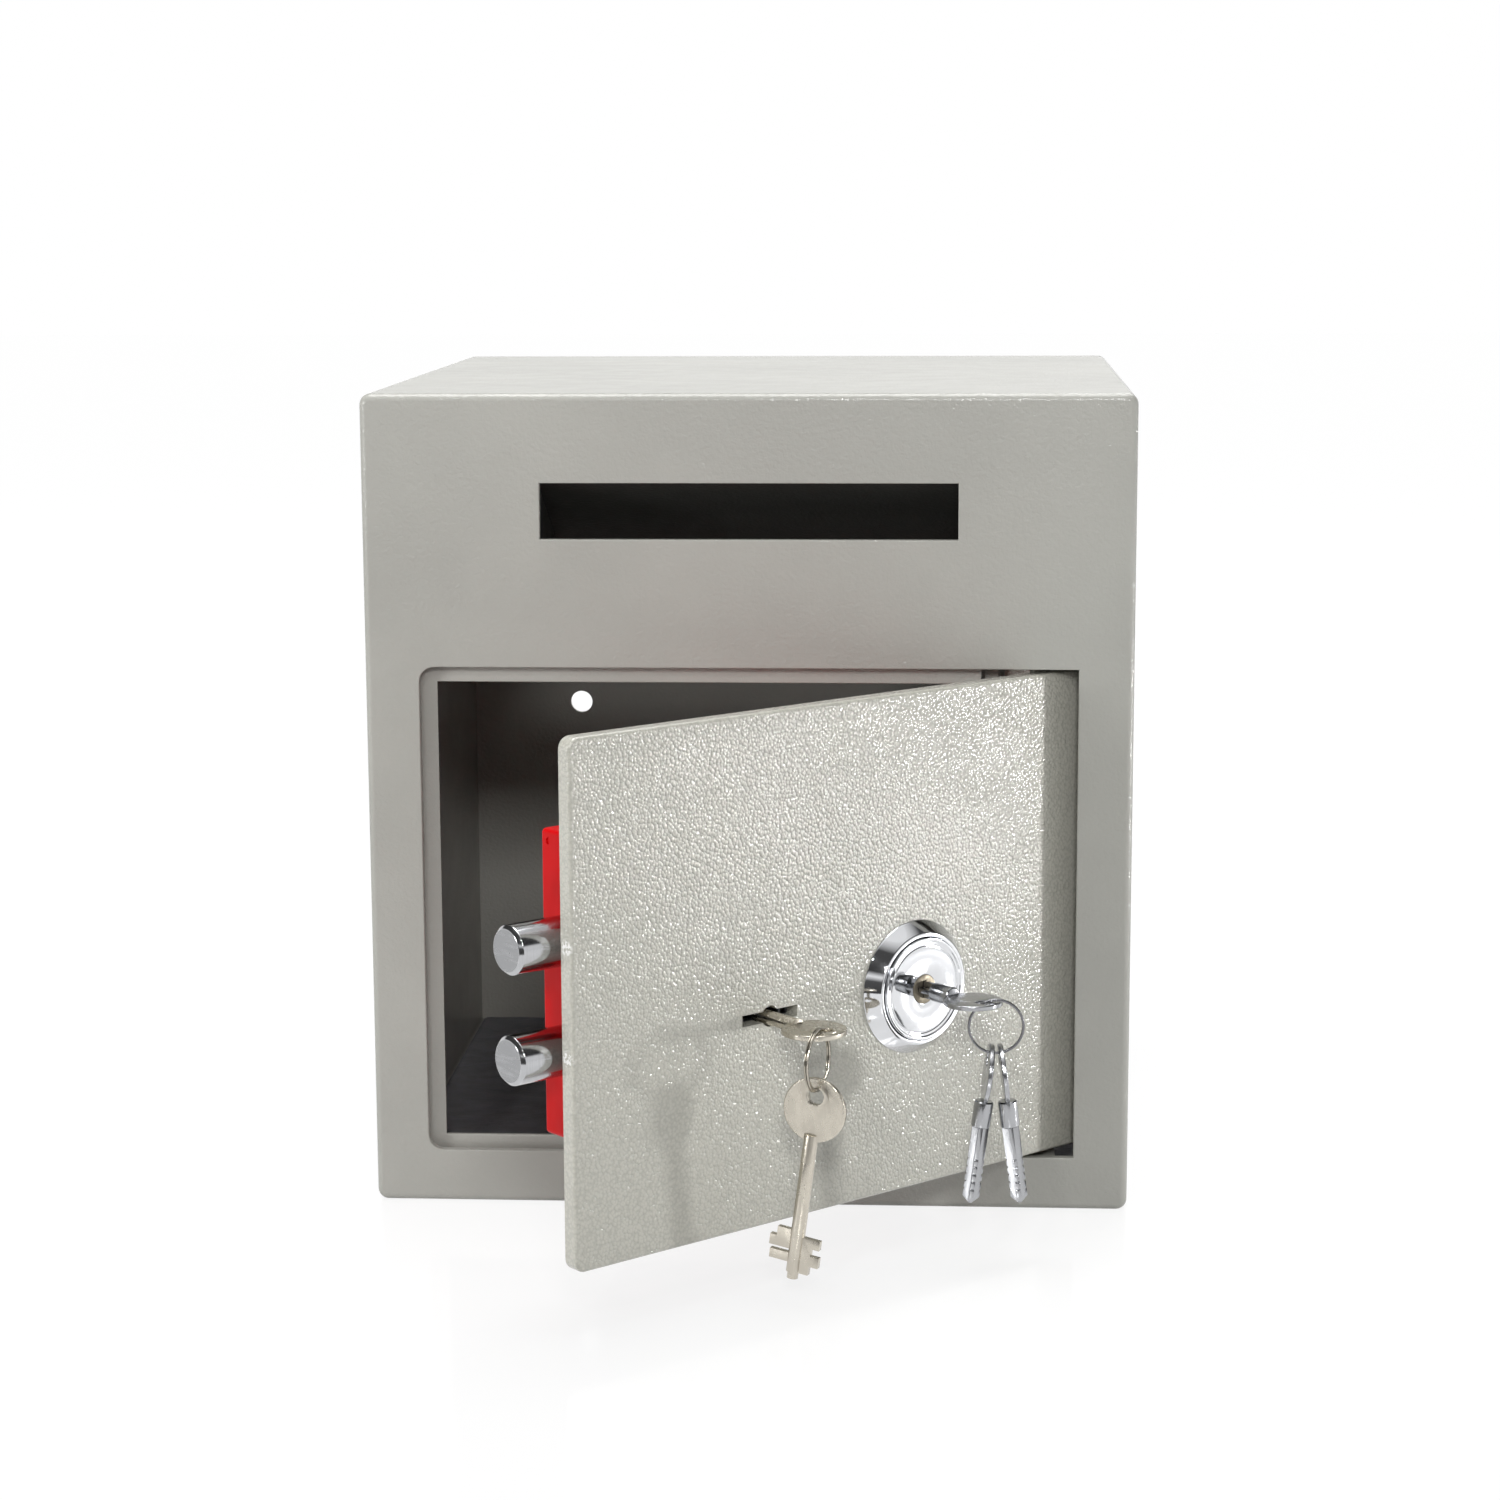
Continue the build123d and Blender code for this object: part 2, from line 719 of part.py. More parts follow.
def wing_outline(start):
    """One wing of the cross blade, with a row of cuts along both edges near its tip."""
    end = start + wing_length
    half = wing_span / 2
    outline = Polygon(
        (start, -half),
        (end - wing_tip, -half),
        (end, -small_round),
        (end, small_round),
        (end - wing_tip, half),
        (start, half),
        align=None,
    )
    cuts = int((wing_length - wing_cut_start - wing_tip) / wing_cut_pitch)
    for number in range(cuts):
        y = end - wing_tip - (number + 1) * wing_cut_pitch
        cut_depth = wing_cut_depth * (0.6 + (number * 3 % 4) / 6)
        for side in (-1, 1):
            edge = side * half
            outline -= Polygon(
                (y - wing_cut_pitch / 3, edge + side * cut_depth),
                (y, edge - side * cut_depth),
                (y + wing_cut_pitch / 3, edge + side * cut_depth),
                align=None,
            )
    return outline


def ring_direction(turn):
    """The level direction in which a ring loops over the bow, turned from straight out."""
    return Vector(sin(radians(turn)), -cos(radians(turn)), 0)


def bridge_middle(hole_offset, hole_radius, bow_radius_here, turn):
    """How far from the hole's centre a ring crosses the rim of the bow, midway over the metal."""
    along = hole_offset * cos(radians(turn))
    to_rim = sqrt(along ** 2 + bow_radius_here ** 2 - hole_offset ** 2) - along
    return (hole_radius + to_rim) / 2


def lever_ring_centre():
    """The centre of the split ring on the lever key."""
    top = key_height + bow_thickness / 2 + lever_ring_rise
    hole = Vector(key_x, key_bow_y - bow_hole_offset, top - lever_ring_radius)
    reach = bridge_middle(bow_hole_offset, bow_hole_radius, bow_radius, lever_ring_turn)
    return hole + ring_direction(lever_ring_turn) * reach


def cross_ring_centre():
    """The centre of the split ring on the cross key."""
    top = cylinder_height + cross_bow_thickness / 2 + cross_ring_rise
    hole = Vector(cylinder_x, cross_bow_y - cross_bow_hole_offset, top - cross_ring_radius)
    reach = bridge_middle(cross_bow_hole_offset, cross_bow_hole_radius, cross_bow_radius,
                          cross_ring_turn)
    return hole + ring_direction(cross_ring_turn) * reach


def split_ring(centre, turn, radius, wire):
    """A wire ring that stands upright in the plane of its loop direction."""
    out = ring_direction(turn)
    plane = Plane(origin=centre, x_dir=out, z_dir=out.cross(Vector(0, 0, 1)))
    return plane.location * Torus(radius, wire)


def hanging(key, centre, turn, radius, slide, lean, hole_offset, drop):
    """A key hung on the bottom of a ring: slide along the wire, lean within the ring's plane."""
    out = ring_direction(turn)
    up = Vector(0, 0, 1)
    wire_height = -sqrt(radius ** 2 - slide ** 2)
    down = out * sin(radians(lean)) - up * cos(radians(lean))
    normal = out * -cos(radians(lean)) - up * sin(radians(lean))
    hole = centre + out * slide + up * wire_height + down * drop
    origin = hole + down * hole_offset
    plane = Plane(origin=origin, x_dir=down.cross(normal), z_dir=normal)
    return plane.location * key


def lever_key_in_lock():
    """The lever key in its keyhole."""
    return Pos(key_x, key_bow_y, key_height) * lever_key()


def lever_ring():
    """The split ring on the lever key."""
    return split_ring(lever_ring_centre(), lever_ring_turn, lever_ring_radius, lever_ring_wire)


def lever_key_spare():
    """The spare lever key, leaning a little to the side on its ring."""
    drop = bow_hole_radius - lever_ring_wire - hang_gap
    centre = lever_ring_centre()
    upright_key = hanging(lever_key(), centre, lever_ring_turn, lever_ring_radius, 0, 0,
                          bow_hole_offset, drop)
    wire = centre - Vector(0, 0, lever_ring_radius)
    axis = Axis(wire, ring_direction(lever_ring_turn))
    return upright_key.rotate(axis, -lever_spare_lean)


def rosette():
    """The bevelled ring round the cylinder lock, with a pocket for the lock's head."""
    place = Pos(cylinder_x, front - rosette_rise / 2, cylinder_height) * Rot(90, 0, 0)
    ring = place * Cone(rosette_radius, rosette_front_radius, rosette_rise)
    ring -= rod(cylinder_x, cylinder_height, head_radius + head_gap,
                front - 2 * rosette_rise, front - rosette_floor)
    return ring - rod(cylinder_x, cylinder_height, barrel_radius + barrel_gap,
                      front - 2 * rosette_rise, front + rosette_rise)


def cylinder_body():
    """The lock cylinder: a round head with a raised rim, and a barrel through the door."""
    head_back = front - rosette_floor
    head_front = front - head_rise
    body = rod(cylinder_x, cylinder_height, head_radius, head_front, head_back)
    rim = rod(cylinder_x, cylinder_height, head_radius, head_front - head_lip_rise, head_front)
    rim -= rod(cylinder_x, cylinder_height, head_radius - head_lip,
               head_front - head_lip_rise, head_front)
    body += rim
    body += rod(cylinder_x, cylinder_height, barrel_radius, head_back, front + barrel_reach)
    return body - rod(cylinder_x, cylinder_height, plug_radius + plug_fit,
                      front - 2 * head_rise, front + 2 * barrel_reach)


def cylinder_nut():
    """The hexagon nut that clamps the cylinder on the door plate."""
    outline = RegularPolygon(nut_flats / 2, 6, major_radius=False)
    outline = outline - Circle(barrel_radius + press_fit_gap)
    outline = Pos(cylinder_x, cylinder_height) * outline
    return upright(outline, door_back, door_back + nut_height)


def cylinder_plug():
    """The turning plug with its keyway and a tail for the cam."""
    face = front - head_rise - plug_proud
    plug_end = front + barrel_reach
    plug = rod(cylinder_x, cylinder_height, plug_radius, face, plug_end)
    tail_end_y = plug_end + cam_gap + cam_sheet
    plug += rod(cylinder_x, cylinder_height, plug_tail_radius, plug_end, tail_end_y)
    thin = wing_thickness + 2 * keyway_gap
    wide = wing_span + 2 * keyway_gap
    keyway = Pos(cylinder_x, cylinder_height) * (Rectangle(thin, wide) + Rectangle(wide, thin))
    plug -= upright(keyway, face, front + keyway_reach)
    return plug - rod(cylinder_x, cylinder_height, cam_screw_radius + press_fit_gap,
                      tail_end_y - cam_sheet - cam_gap, tail_end_y)


def cam_low():
    """The front face of the cam."""
    return front + barrel_reach + cam_gap


def locking_cam():
    """The cam on the plug's tail, whose arm swings up to block the end of the lock's tail."""
    arm = Pos(cam_arm_length / 2, 0) * Rectangle(cam_arm_length, cam_arm_width)
    outline = fillet(arm.vertices().group_by(Axis.X)[-1], edge_round) + Circle(cam_hub_radius)
    outline = outline - Circle(plug_tail_radius + press_fit_gap)
    outline = Pos(cylinder_x, cylinder_height) * outline
    return upright(outline, cam_low(), cam_low() + cam_sheet)


def cam_screw():
    """The screw that holds the cam on the plug."""
    seat = cam_low() + cam_sheet
    shank = rod(cylinder_x, cylinder_height, cam_screw_radius, seat - cam_sheet, seat)
    head = rod(cylinder_x, cylinder_height, cam_screw_head_radius, seat,
               seat + cam_screw_head_height)
    return shank + head


def cross_key_in_lock():
    """The cross key in the cylinder."""
    return Pos(cylinder_x, cross_bow_y, cylinder_height) * cross_key()


def cross_ring():
    """The split ring on the cross key."""
    return split_ring(cross_ring_centre(), cross_ring_turn, cross_ring_radius, cross_ring_wire)


def cross_key_spare(side):
    """One of the two spare cross keys, leaning out to one side of the ring."""
    drop = cross_bow_hole_radius - cross_ring_wire - hang_gap
    return hanging(cross_key(), cross_ring_centre(), cross_ring_turn, cross_ring_radius,
                   side * cross_spare_spread, side * cross_spare_lean, cross_bow_hole_offset, drop)


def cabinet_pieces():
    """Every piece that stands still."""
    return {
        "body_shell": body_shell(),
        "front_plate": front_plate(),
        "back_panel": back_panel(),
        "slot_hood": slot_hood(),
        "floor_mat": floor_mat(),
        "stop_strip_left": stop_strip_left(),
        "stop_strip_top": stop_strip_top(),
        "stop_strip_bottom": stop_strip_bottom(),
        "hinge_bracket_upper": hinge_bracket(),
        "hinge_bracket_lower": below(hinge_bracket()),
        "hinge_bush_upper": hinge_bush(),
        "hinge_bush_lower": below(hinge_bush()),
    }


def door_pieces():
    """Every piece that swings with the door, drawn with the door shut."""
    return {
        "door_plate": door_plate(),
        "hinge_knuckle_upper": hinge_knuckle(),
        "hinge_knuckle_lower": below(hinge_knuckle()),
        "hinge_pin_upper": hinge_pin(),
        "hinge_pin_lower": below(hinge_pin()),
        "bolt_housing": bolt_housing(),
        "housing_pillars": housing_pillars(),
        "housing_screws": housing_screws(),
        "bolt_guide": bolt_guide(),
        "bolt_lower": round_bolt(bolt_heights[0]),
        "bolt_upper": round_bolt(bolt_heights[1]),
        "bolt_carrier": bolt_carrier(),
        "carrier_screws": carrier_screws(),
        "lock_tail": lock_tail(),
        "lock_case": lock_case(),
        "lock_cap": lock_cap(),
        "lock_screws": lock_screws(),
        "lever_post": lever_post(),
        "lock_levers": lock_levers(),
        "lock_curtain": lock_curtain(),
        "lever_key": lever_key_in_lock(),
        "lever_key_ring": lever_ring(),
        "lever_key_spare": lever_key_spare(),
        "rosette": rosette(),
        "cylinder_body": cylinder_body(),
        "cylinder_nut": cylinder_nut(),
        "cylinder_plug": cylinder_plug(),
        "locking_cam": locking_cam(),
        "cam_screw": cam_screw(),
        "cross_key": cross_key_in_lock(),
        "cross_key_ring": cross_ring(),
        "cross_key_spare_left": cross_key_spare(-1),
        "cross_key_spare_right": cross_key_spare(1),
    }


def solid_list(piece):
    """The solids of a piece, which may be one shape or a list of like shapes."""
    shapes = piece if isinstance(piece, list) else [piece]
    return [solid for shape in shapes for solid in shape.solids()]


def swung_open(solid):
    """A door solid turned about the hinge pins to the rest position."""
    swing = Pos(hinge_x, hinge_y, 0) * Rot(0, 0, door_angle) * Pos(-hinge_x, -hinge_y, 0)
    return swing * solid


def write_parts():
    """Write one STEP file for each node."""
    os.makedirs("parts", exist_ok=True)
    nodes = {name: solid_list(piece) for name, piece in cabinet_pieces().items()}
    for name, piece in door_pieces().items():
        nodes[name] = [swung_open(solid) for solid in solid_list(piece)]
    for name, solids in nodes.items():
        shape = solids[0] if len(solids) == 1 else Compound(solids)
        export_step(shape, f"parts/{name}.step")


write_parts()
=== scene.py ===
"""Looks of a front-loading deposit safe, laid out as a Blender add-on and run as a script.

Every new shape is a surface worked out with numpy, in metres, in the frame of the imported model, or a
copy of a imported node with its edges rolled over. A turned piece of the door is worked out with the door
shut and then swung open round the hinge.
"""

from math import cos, pi, radians, sin

import bmesh
import bpy
import numpy as np
from mathutils import Matrix, Vector


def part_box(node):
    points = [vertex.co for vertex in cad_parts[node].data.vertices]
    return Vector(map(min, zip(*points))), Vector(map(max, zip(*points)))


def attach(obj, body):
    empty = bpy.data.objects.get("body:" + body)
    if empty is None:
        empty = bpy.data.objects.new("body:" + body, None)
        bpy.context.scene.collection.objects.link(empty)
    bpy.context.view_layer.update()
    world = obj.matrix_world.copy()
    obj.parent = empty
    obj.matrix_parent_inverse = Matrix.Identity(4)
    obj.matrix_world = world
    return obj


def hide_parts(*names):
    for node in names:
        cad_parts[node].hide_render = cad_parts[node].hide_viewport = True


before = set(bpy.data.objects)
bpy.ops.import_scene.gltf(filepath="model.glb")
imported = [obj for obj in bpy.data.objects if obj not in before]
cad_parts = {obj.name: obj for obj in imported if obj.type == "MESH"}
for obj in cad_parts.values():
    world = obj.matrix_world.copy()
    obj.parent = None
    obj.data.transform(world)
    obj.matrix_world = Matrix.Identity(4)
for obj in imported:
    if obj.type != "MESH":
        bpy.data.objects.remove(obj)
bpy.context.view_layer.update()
mat_low, mat_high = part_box("floor_mat")

bl_info = {
    "name": "Deposit safe",
    "version": (1, 0, 0),
    "blender": (4, 5, 0),
    "location": "3D View > Sidebar > Deposit safe",
    "description": "Builds the looks of a front-loading deposit safe round its packed construction",
    "category": "Object",
}

millimetre = 0.001
lathe_steps = 96

# The door when shut, in plan and in height, and how far it stands open
hinge_place = (0.1248, -0.145)
door_open = radians(43.4)
door_free_edge = -0.1485
door_front = -0.165
bolt_heights = (0.1162, 0.1626)
cylinder_height = 0.1188
cylinder_from_free_edge = 0.1882

# The holes of the lever keys' bows, as the keys hang at rest, and the way through the spare key's hole
key_hole = (0.040307, -0.300598, 0.1183)
spare_hole = (0.037647, -0.307036, 0.093077)
spare_across = (0.3305, 0.9438, 0.0)

# The camera of the picture, fitted to the cabinet's edges
camera_place = (0.09534, -1.6380, 0.46828)
camera_heading, camera_tilt, camera_roll = 0.06382, -0.16969, 0.00463
camera_lens = 78.93

# The middle of the spheres that the dark cards are cut from, in front of the door
card_middle = np.array((0.05, -0.25, 0.13))

coat_nodes = (
    "body_shell", "front_plate", "stop_strip_left", "stop_strip_top", "stop_strip_bottom",
    "hinge_bracket_upper", "hinge_bracket_lower",
)
door_nodes = ("door_plate", "hinge_knuckle_upper", "hinge_knuckle_lower")
steel_nodes = (
    "hinge_pin_upper", "hinge_pin_lower", "housing_pillars", "housing_screws", "bolt_guide",
    "bolt_carrier", "carrier_screws", "lock_tail", "lock_case", "lock_cap", "lock_screws",
    "lever_post", "lock_curtain", "locking_cam", "cam_screw",
)


def linear(colour):
    """An sRGB colour as the scene's linear colour, with full opacity."""
    c = np.asarray(colour[:3], float)
    value = np.where(c <= 0.04045, c / 12.92, ((c + 0.055) / 1.055) ** 2.4)
    return (*value.tolist(), 1.0)


def swung(points):
    """Points of the shut door turned open about the hinge's upright axis."""
    points = np.asarray(points, float)
    x, y = points[..., 0] - hinge_place[0], points[..., 1] - hinge_place[1]
    c, s = cos(door_open), sin(door_open)
    moved = (hinge_place[0] + c * x - s * y, hinge_place[1] + s * x + c * y, points[..., 2])
    return np.stack(moved, -1)


def grid_faces(rows, columns, wrap_rows=False, wrap_columns=False):
    """Quads between neighbours of a grid of points, numbered row by row."""
    row = np.arange(rows if wrap_rows else rows - 1)[:, None]
    column = np.arange(columns if wrap_columns else columns - 1)[None, :]
    next_row, next_column = (row + 1) % rows, (column + 1) % columns
    corners = (
        row * columns + column,
        row * columns + next_column,
        next_row * columns + next_column,
        next_row * columns + column,
    )
    return np.stack(np.broadcast_arrays(*corners), -1).reshape(-1, 4)


def new_piece(name, points, faces, finish, body):
    """A smooth closed mesh from points and faces, its poles merged and its faces turned outwards."""
    mesh = bpy.data.meshes.new(name)
    mesh.from_pydata(np.asarray(points, float).reshape(-1, 3).tolist(), [], np.asarray(faces).tolist())
    shape = bmesh.new()
    shape.from_mesh(mesh)
    bmesh.ops.remove_doubles(shape, verts=shape.verts, dist=1e-7)
    bmesh.ops.recalc_face_normals(shape, faces=shape.faces)
    shape.to_mesh(mesh)
    shape.free()
    mesh.shade_smooth()
    piece = bpy.data.objects.new(name, mesh)
    bpy.context.scene.collection.objects.link(piece)
    mesh.materials.append(finish)
    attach(piece, body)
    return piece


def rounded(corners, radius, steps=4, closed=False):
    """A profile with its corners cut back by radius and joined by quadratic curves.

    The two ends of a profile that isn't closed stay as they are.
    """
    corners = np.asarray(corners, float)
    count = len(corners)
    line = []
    for number, corner in enumerate(corners):
        if not closed and number in (0, count - 1):
            line.append(corner[None])
            continue
        ends = []
        for other in (corners[number - 1], corners[(number + 1) % count]):
            away = other - corner
            length = np.linalg.norm(away)
            ends.append(corner + away / length * min(radius, 0.45 * length))
        t = np.linspace(0, 1, steps + 1)[:, None]
        line.append((1 - t) ** 2 * ends[0] + 2 * t * (1 - t) * corner + t ** 2 * ends[1])
    return np.concatenate(line)


def turned(profile, centre, axis, steps=lathe_steps):
    """A profile of (radius, distance along the axis) turned once round the axis through centre."""
    profile = np.asarray(profile, float)
    axis = np.asarray(axis, float)
    first = np.cross(axis, (1.0, 0.0, 0.0) if abs(axis[2]) > 0.9 else (0.0, 0.0, 1.0))
    second = np.cross(axis, first)
    angle = np.linspace(0, 2 * pi, steps, endpoint=False)
    spoke = np.cos(angle)[:, None] * first + np.sin(angle)[:, None] * second
    radius, along = profile[:, 0, None, None], profile[:, 1, None, None]
    return np.asarray(centre, float) + radius * spoke[None] + along * axis


def lathe(name, profile, centre, axis, finish, body, ring=False):
    """A turned piece of the shut door, swung open; ring joins the profile's end to its start."""
    points = swung(turned(profile, centre, axis))
    faces = grid_faces(len(profile), lathe_steps, wrap_rows=ring, wrap_columns=True)
    return new_piece(name, points, faces, finish, body)


def softened(node, name, width, finish, body):
    """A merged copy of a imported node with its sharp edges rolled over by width."""
    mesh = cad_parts[node].data.copy()
    mesh.name = name
    shape = bmesh.new()
    shape.from_mesh(mesh)
    bmesh.ops.remove_doubles(shape, verts=shape.verts, dist=1e-6)
    bmesh.ops.dissolve_limit(
        shape, angle_limit=radians(0.6), verts=shape.verts, edges=shape.edges
    )
    for face in shape.faces:
        face.smooth = True
    shape.to_mesh(mesh)
    shape.free()
    mesh.materials.clear()
    mesh.materials.append(finish)
    piece = bpy.data.objects.new(name, mesh)
    bpy.context.scene.collection.objects.link(piece)
    bevel = piece.modifiers.new("rolled edges", "BEVEL")
    bevel.width = width
    bevel.segments = 2
    bevel.limit_method = "ANGLE"
    bevel.angle_limit = radians(32)
    bevel.harden_normals = True
    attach(piece, body)
    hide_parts(node)


class Finish:
    """A node material: one Principled shader fed by patterns on Object coordinates."""

    def __init__(self, name, **values):
        self.material = bpy.data.materials.new(name)
        self.material.use_nodes = True
        self.tree = self.material.node_tree
        self.shader = self.tree.nodes["Principled BSDF"]
        self.place = self.tree.nodes.new("ShaderNodeTexCoord").outputs["Object"]
        for socket, value in values.items():
            self.shader.inputs[socket.replace("_", " ")].default_value = value

    def node(self, kind, inputs=(), **settings):
        """A node with its settings made and its inputs linked or set."""
        made = self.tree.nodes.new("ShaderNode" + kind)
        for name, value in settings.items():
            setattr(made, name, value)
        for key, value in dict(inputs).items():
            if isinstance(value, bpy.types.NodeSocket):
                self.tree.links.new(value, made.inputs[key])
            else:
                made.inputs[key].default_value = value
        return made

    def mapped(self, turn=(0, 0, 0), scale=(1, 1, 1)):
        """Object coordinates turned and stretched."""
        inputs = {"Vector": self.place, "Rotation": turn, "Scale": scale}
        return self.node("Mapping", inputs).outputs["Vector"]

    def noise(self, scale, detail=2.0, roughness=0.5, distortion=0.0, place=None):
        """Soft lumps, scale of them to a metre."""
        inputs = {
            "Vector": place or self.place, "Scale": scale, "Detail": detail,
            "Roughness": roughness, "Distortion": distortion,
        }
        return self.node("TexNoise", inputs).outputs["Fac"]

    def cells(self, scale, place=None):
        """How far it is to the nearest cell's middle, with scale cells to a metre."""
        inputs = {"Vector": place or self.place, "Scale": scale}
        return self.node("TexVoronoi", inputs, feature="F1").outputs["Distance"]

    def spread(self, value, low, high, to_low=0.0, to_high=1.0):
        """A value between low and high moved to the range to_low to to_high."""
        inputs = {0: value, 1: low, 2: high, 3: to_low, 4: to_high}
        return self.node("MapRange", inputs, interpolation_type="SMOOTHSTEP").outputs[0]

    def sum(self, first, second, operation="ADD"):
        """Two values put together by one operation."""
        return self.node("Math", {0: first, 1: second}, operation=operation).outputs[0]

    def blend(self, factor, first, second):
        """A colour between first and second."""
        inputs = {0: factor, 6: first, 7: second}
        return self.node("Mix", inputs, data_type="RGBA").outputs[2]

    def near(self, point, reach):
        """One within half the reach of a point, falling softly to nothing at the whole reach."""
        inputs = {0: self.place, 1: tuple(point)}
        away = self.node("VectorMath", inputs, operation="DISTANCE").outputs["Value"]
        return self.spread(away, reach * 0.5, reach, 1.0, 0.0)

    def bump(self, height, distance, coat=0.0):
        """The surface lifted by height times distance, and its clear coat by coat times as much."""
        for socket, share in (("Normal", 1.0), ("Coat Normal", coat)):
            if share:
                inputs = {"Height": height, "Distance": share * distance}
                self.link(self.node("Bump", inputs).outputs["Normal"], socket)

    def link(self, value, socket):
        """A value led into the shader."""
        self.tree.links.new(value, self.shader.inputs[socket])


def smooth_coat(name, colours, shade=1.0, clear=0.45):
    """Fine powder coat: low ripples about two millimetres wide, with slow drifts of tone and gloss.

    Shade is painted shade: it darkens the coat's colour and specular where light hardly gets in, and
    clear is how glossy it is.
    """
    finish = Finish(
        name, Coat_Weight=clear, Coat_Roughness=0.08, Specular_IOR_Level=0.25 * shade
    )
    base = [shade * c for c in colours.cabinet]
    drift = finish.spread(finish.noise(14, 3), 0.3, 0.7)
    deep = [0.965 * c for c in base]
    finish.link(finish.blend(drift, linear(deep), linear(base)), "Base Color")
    finish.link(finish.spread(finish.noise(60, 3), 0.3, 0.7, 0.4, 0.5), "Roughness")
    peel = finish.noise(colours.peel_scale, 1.5, 0.45, 0.2)
    fine = finish.noise(colours.peel_scale * 3.1, 1.0)
    height = finish.sum(peel, finish.sum(fine, 0.25, "MULTIPLY"))
    finish.bump(height, colours.peel_height, coat=1.2)
    return finish.material


def rough_coat(name, colours):
    """Textured powder coat: dense rounded grains that catch the light, worn by two small knocks.

    A grain's height is one less the square of the distance to its middle, counted in grains, and a
    fine noise lies over all of them. Its colour has painted shade in the hollows between the grains and
    a painted highlight on their tops, under a slow drift of tone.
    """
    finish = Finish(
        name, Coat_Weight=1.0, Coat_Roughness=0.07, Coat_IOR=1.6, Specular_IOR_Level=0.15
    )
    skew = finish.mapped((0.5, 0.4, 0.7))
    from_top = finish.cells(colours.grain_scale, place=skew)
    dome = finish.sum(1.0, finish.sum(from_top, from_top, "MULTIPLY"), "SUBTRACT")
    fine = finish.noise(colours.grain_scale * 1.3, 1.0, place=skew)
    height = finish.sum(dome, finish.sum(fine, 0.22, "MULTIPLY"))
    finish.bump(height, colours.grain_height, coat=1.45)
    base = colours.door
    # Painted shade in the grain hollows and a painted highlight on the grain tops, over a slow drift of
    # tone.
    valley_shade = [0.955 * c for c in base]
    drift = finish.spread(finish.noise(22, 3), 0.3, 0.7, -0.12, 0.12)
    level = finish.sum(finish.spread(dome, 0.55, 0.95), drift)
    colour = finish.blend(level, linear(valley_shade), linear([1.02 * c for c in base]))
    knocks = None
    knock_reach = 4.2 * millimetre
    for bolt_height in bolt_heights:
        beside = (door_free_edge, door_front + 3.5 * millimetre, bolt_height + 1.5 * millimetre)
        mark = finish.near(swung(beside), knock_reach)
        knocks = mark if knocks is None else finish.sum(knocks, mark)
    chips = finish.spread(finish.noise(700, 2), 0.47, 0.53)
    chips = finish.sum(chips, knocks, "MULTIPLY")
    finish.link(finish.blend(chips, colour, linear((0.93, 0.93, 0.92))), "Base Color")
    finish.link(finish.spread(finish.noise(90, 2), 0.3, 0.7, 0.3, 0.38), "Roughness")
    return finish.material


def gloss_enamel(name, colours):
    """Sprayed enamel: slow waves, a slow drift of depth and patches of fine nibs."""
    finish = Finish(
        name, Coat_Weight=0.06, Coat_Roughness=0.07, Roughness=0.4, Specular_IOR_Level=0.1
    )
    base = colours.cover
    deep = (base[0] * 0.9, base[1] * 0.75, base[2] * 0.75)
    drift = finish.spread(finish.noise(35, 2), 0.35, 0.65)
    finish.link(finish.blend(drift, linear(deep), linear(base)), "Base Color")
    waves = finish.noise(90, 1.0)
    nibs = finish.spread(finish.cells(420), 0.0, 0.12, 1.0, 0.0)
    nibs = finish.sum(nibs, finish.spread(finish.noise(60, 1), 0.6, 0.66), "MULTIPLY")
    height = finish.sum(waves, finish.sum(nibs, 0.3, "MULTIPLY"))
    finish.bump(height, 0.35 * millimetre, coat=1.0)
    return finish.material


def felt(name, colours):
    """Needled felt: matted fibres in two directions over soft tufts."""
    finish = Finish(
        name, Sheen_Weight=0.35, Sheen_Roughness=0.5, Roughness=0.95, Specular_IOR_Level=0.1
    )
    base = colours.mat
    one = finish.noise(260, 5, 0.75, 0.8, finish.mapped((0, 0, 0.6), (1.0, 4.5, 1.0)))
    two = finish.noise(260, 5, 0.75, 0.8, finish.mapped((0, 0, -0.8), (1.0, 4.0, 1.0)))
    fibre = finish.sum(one, two, "MAXIMUM")
    tuft = finish.noise(90, 4, 0.6)
    light = [min(1.0, 2.1 * c + 0.05) for c in base]
    shade = finish.spread(finish.sum(fibre, finish.sum(tuft, 0.4, "MULTIPLY")), 0.6, 0.95)
    finish.link(finish.blend(shade, linear(base), linear(light)), "Base Color")
    finish.bump(finish.sum(fibre, tuft), 0.9 * millimetre)
    return finish.material


def bright_metal(name, colour, gloss, brushed=(30.0, 30.0, 30.0), turn=0.0, mottle=0.0):
    """Plated metal: a mirror with faint brush lines, fine scratches and, if asked, a mottle.

    Gloss is its least roughness, and brushed says how many lines there are to a metre along each axis,
    once the piece is turned back by turn about the upright axis.
    """
    finish = Finish(name, Metallic=1.0)
    lines = finish.noise(1.0, 3, 0.6, 0.0, finish.mapped((0, 0, -turn), brushed))
    scratch = finish.noise(700, 4, 0.7, 1.5)
    tone = finish.spread(lines, 0.3, 0.7)
    if mottle:
        tone = finish.sum(tone, finish.sum(finish.noise(140, 4, 0.6), mottle, "MULTIPLY"))
    deep = [(0.97 - 0.08 * mottle) * c for c in colour]
    finish.link(finish.blend(tone, linear(colour), linear(deep)), "Base Color")
    rough = finish.sum(
        finish.spread(lines, 0.3, 0.7, gloss, gloss * 1.5),
        finish.spread(scratch, 0.55, 0.75, 0.0, 0.3 * gloss + 0.01),
    )
    finish.link(rough, "Roughness")
    finish.bump(finish.sum(lines, finish.sum(scratch, 0.3, "MULTIPLY")), 0.012 * millimetre)
    return finish.material


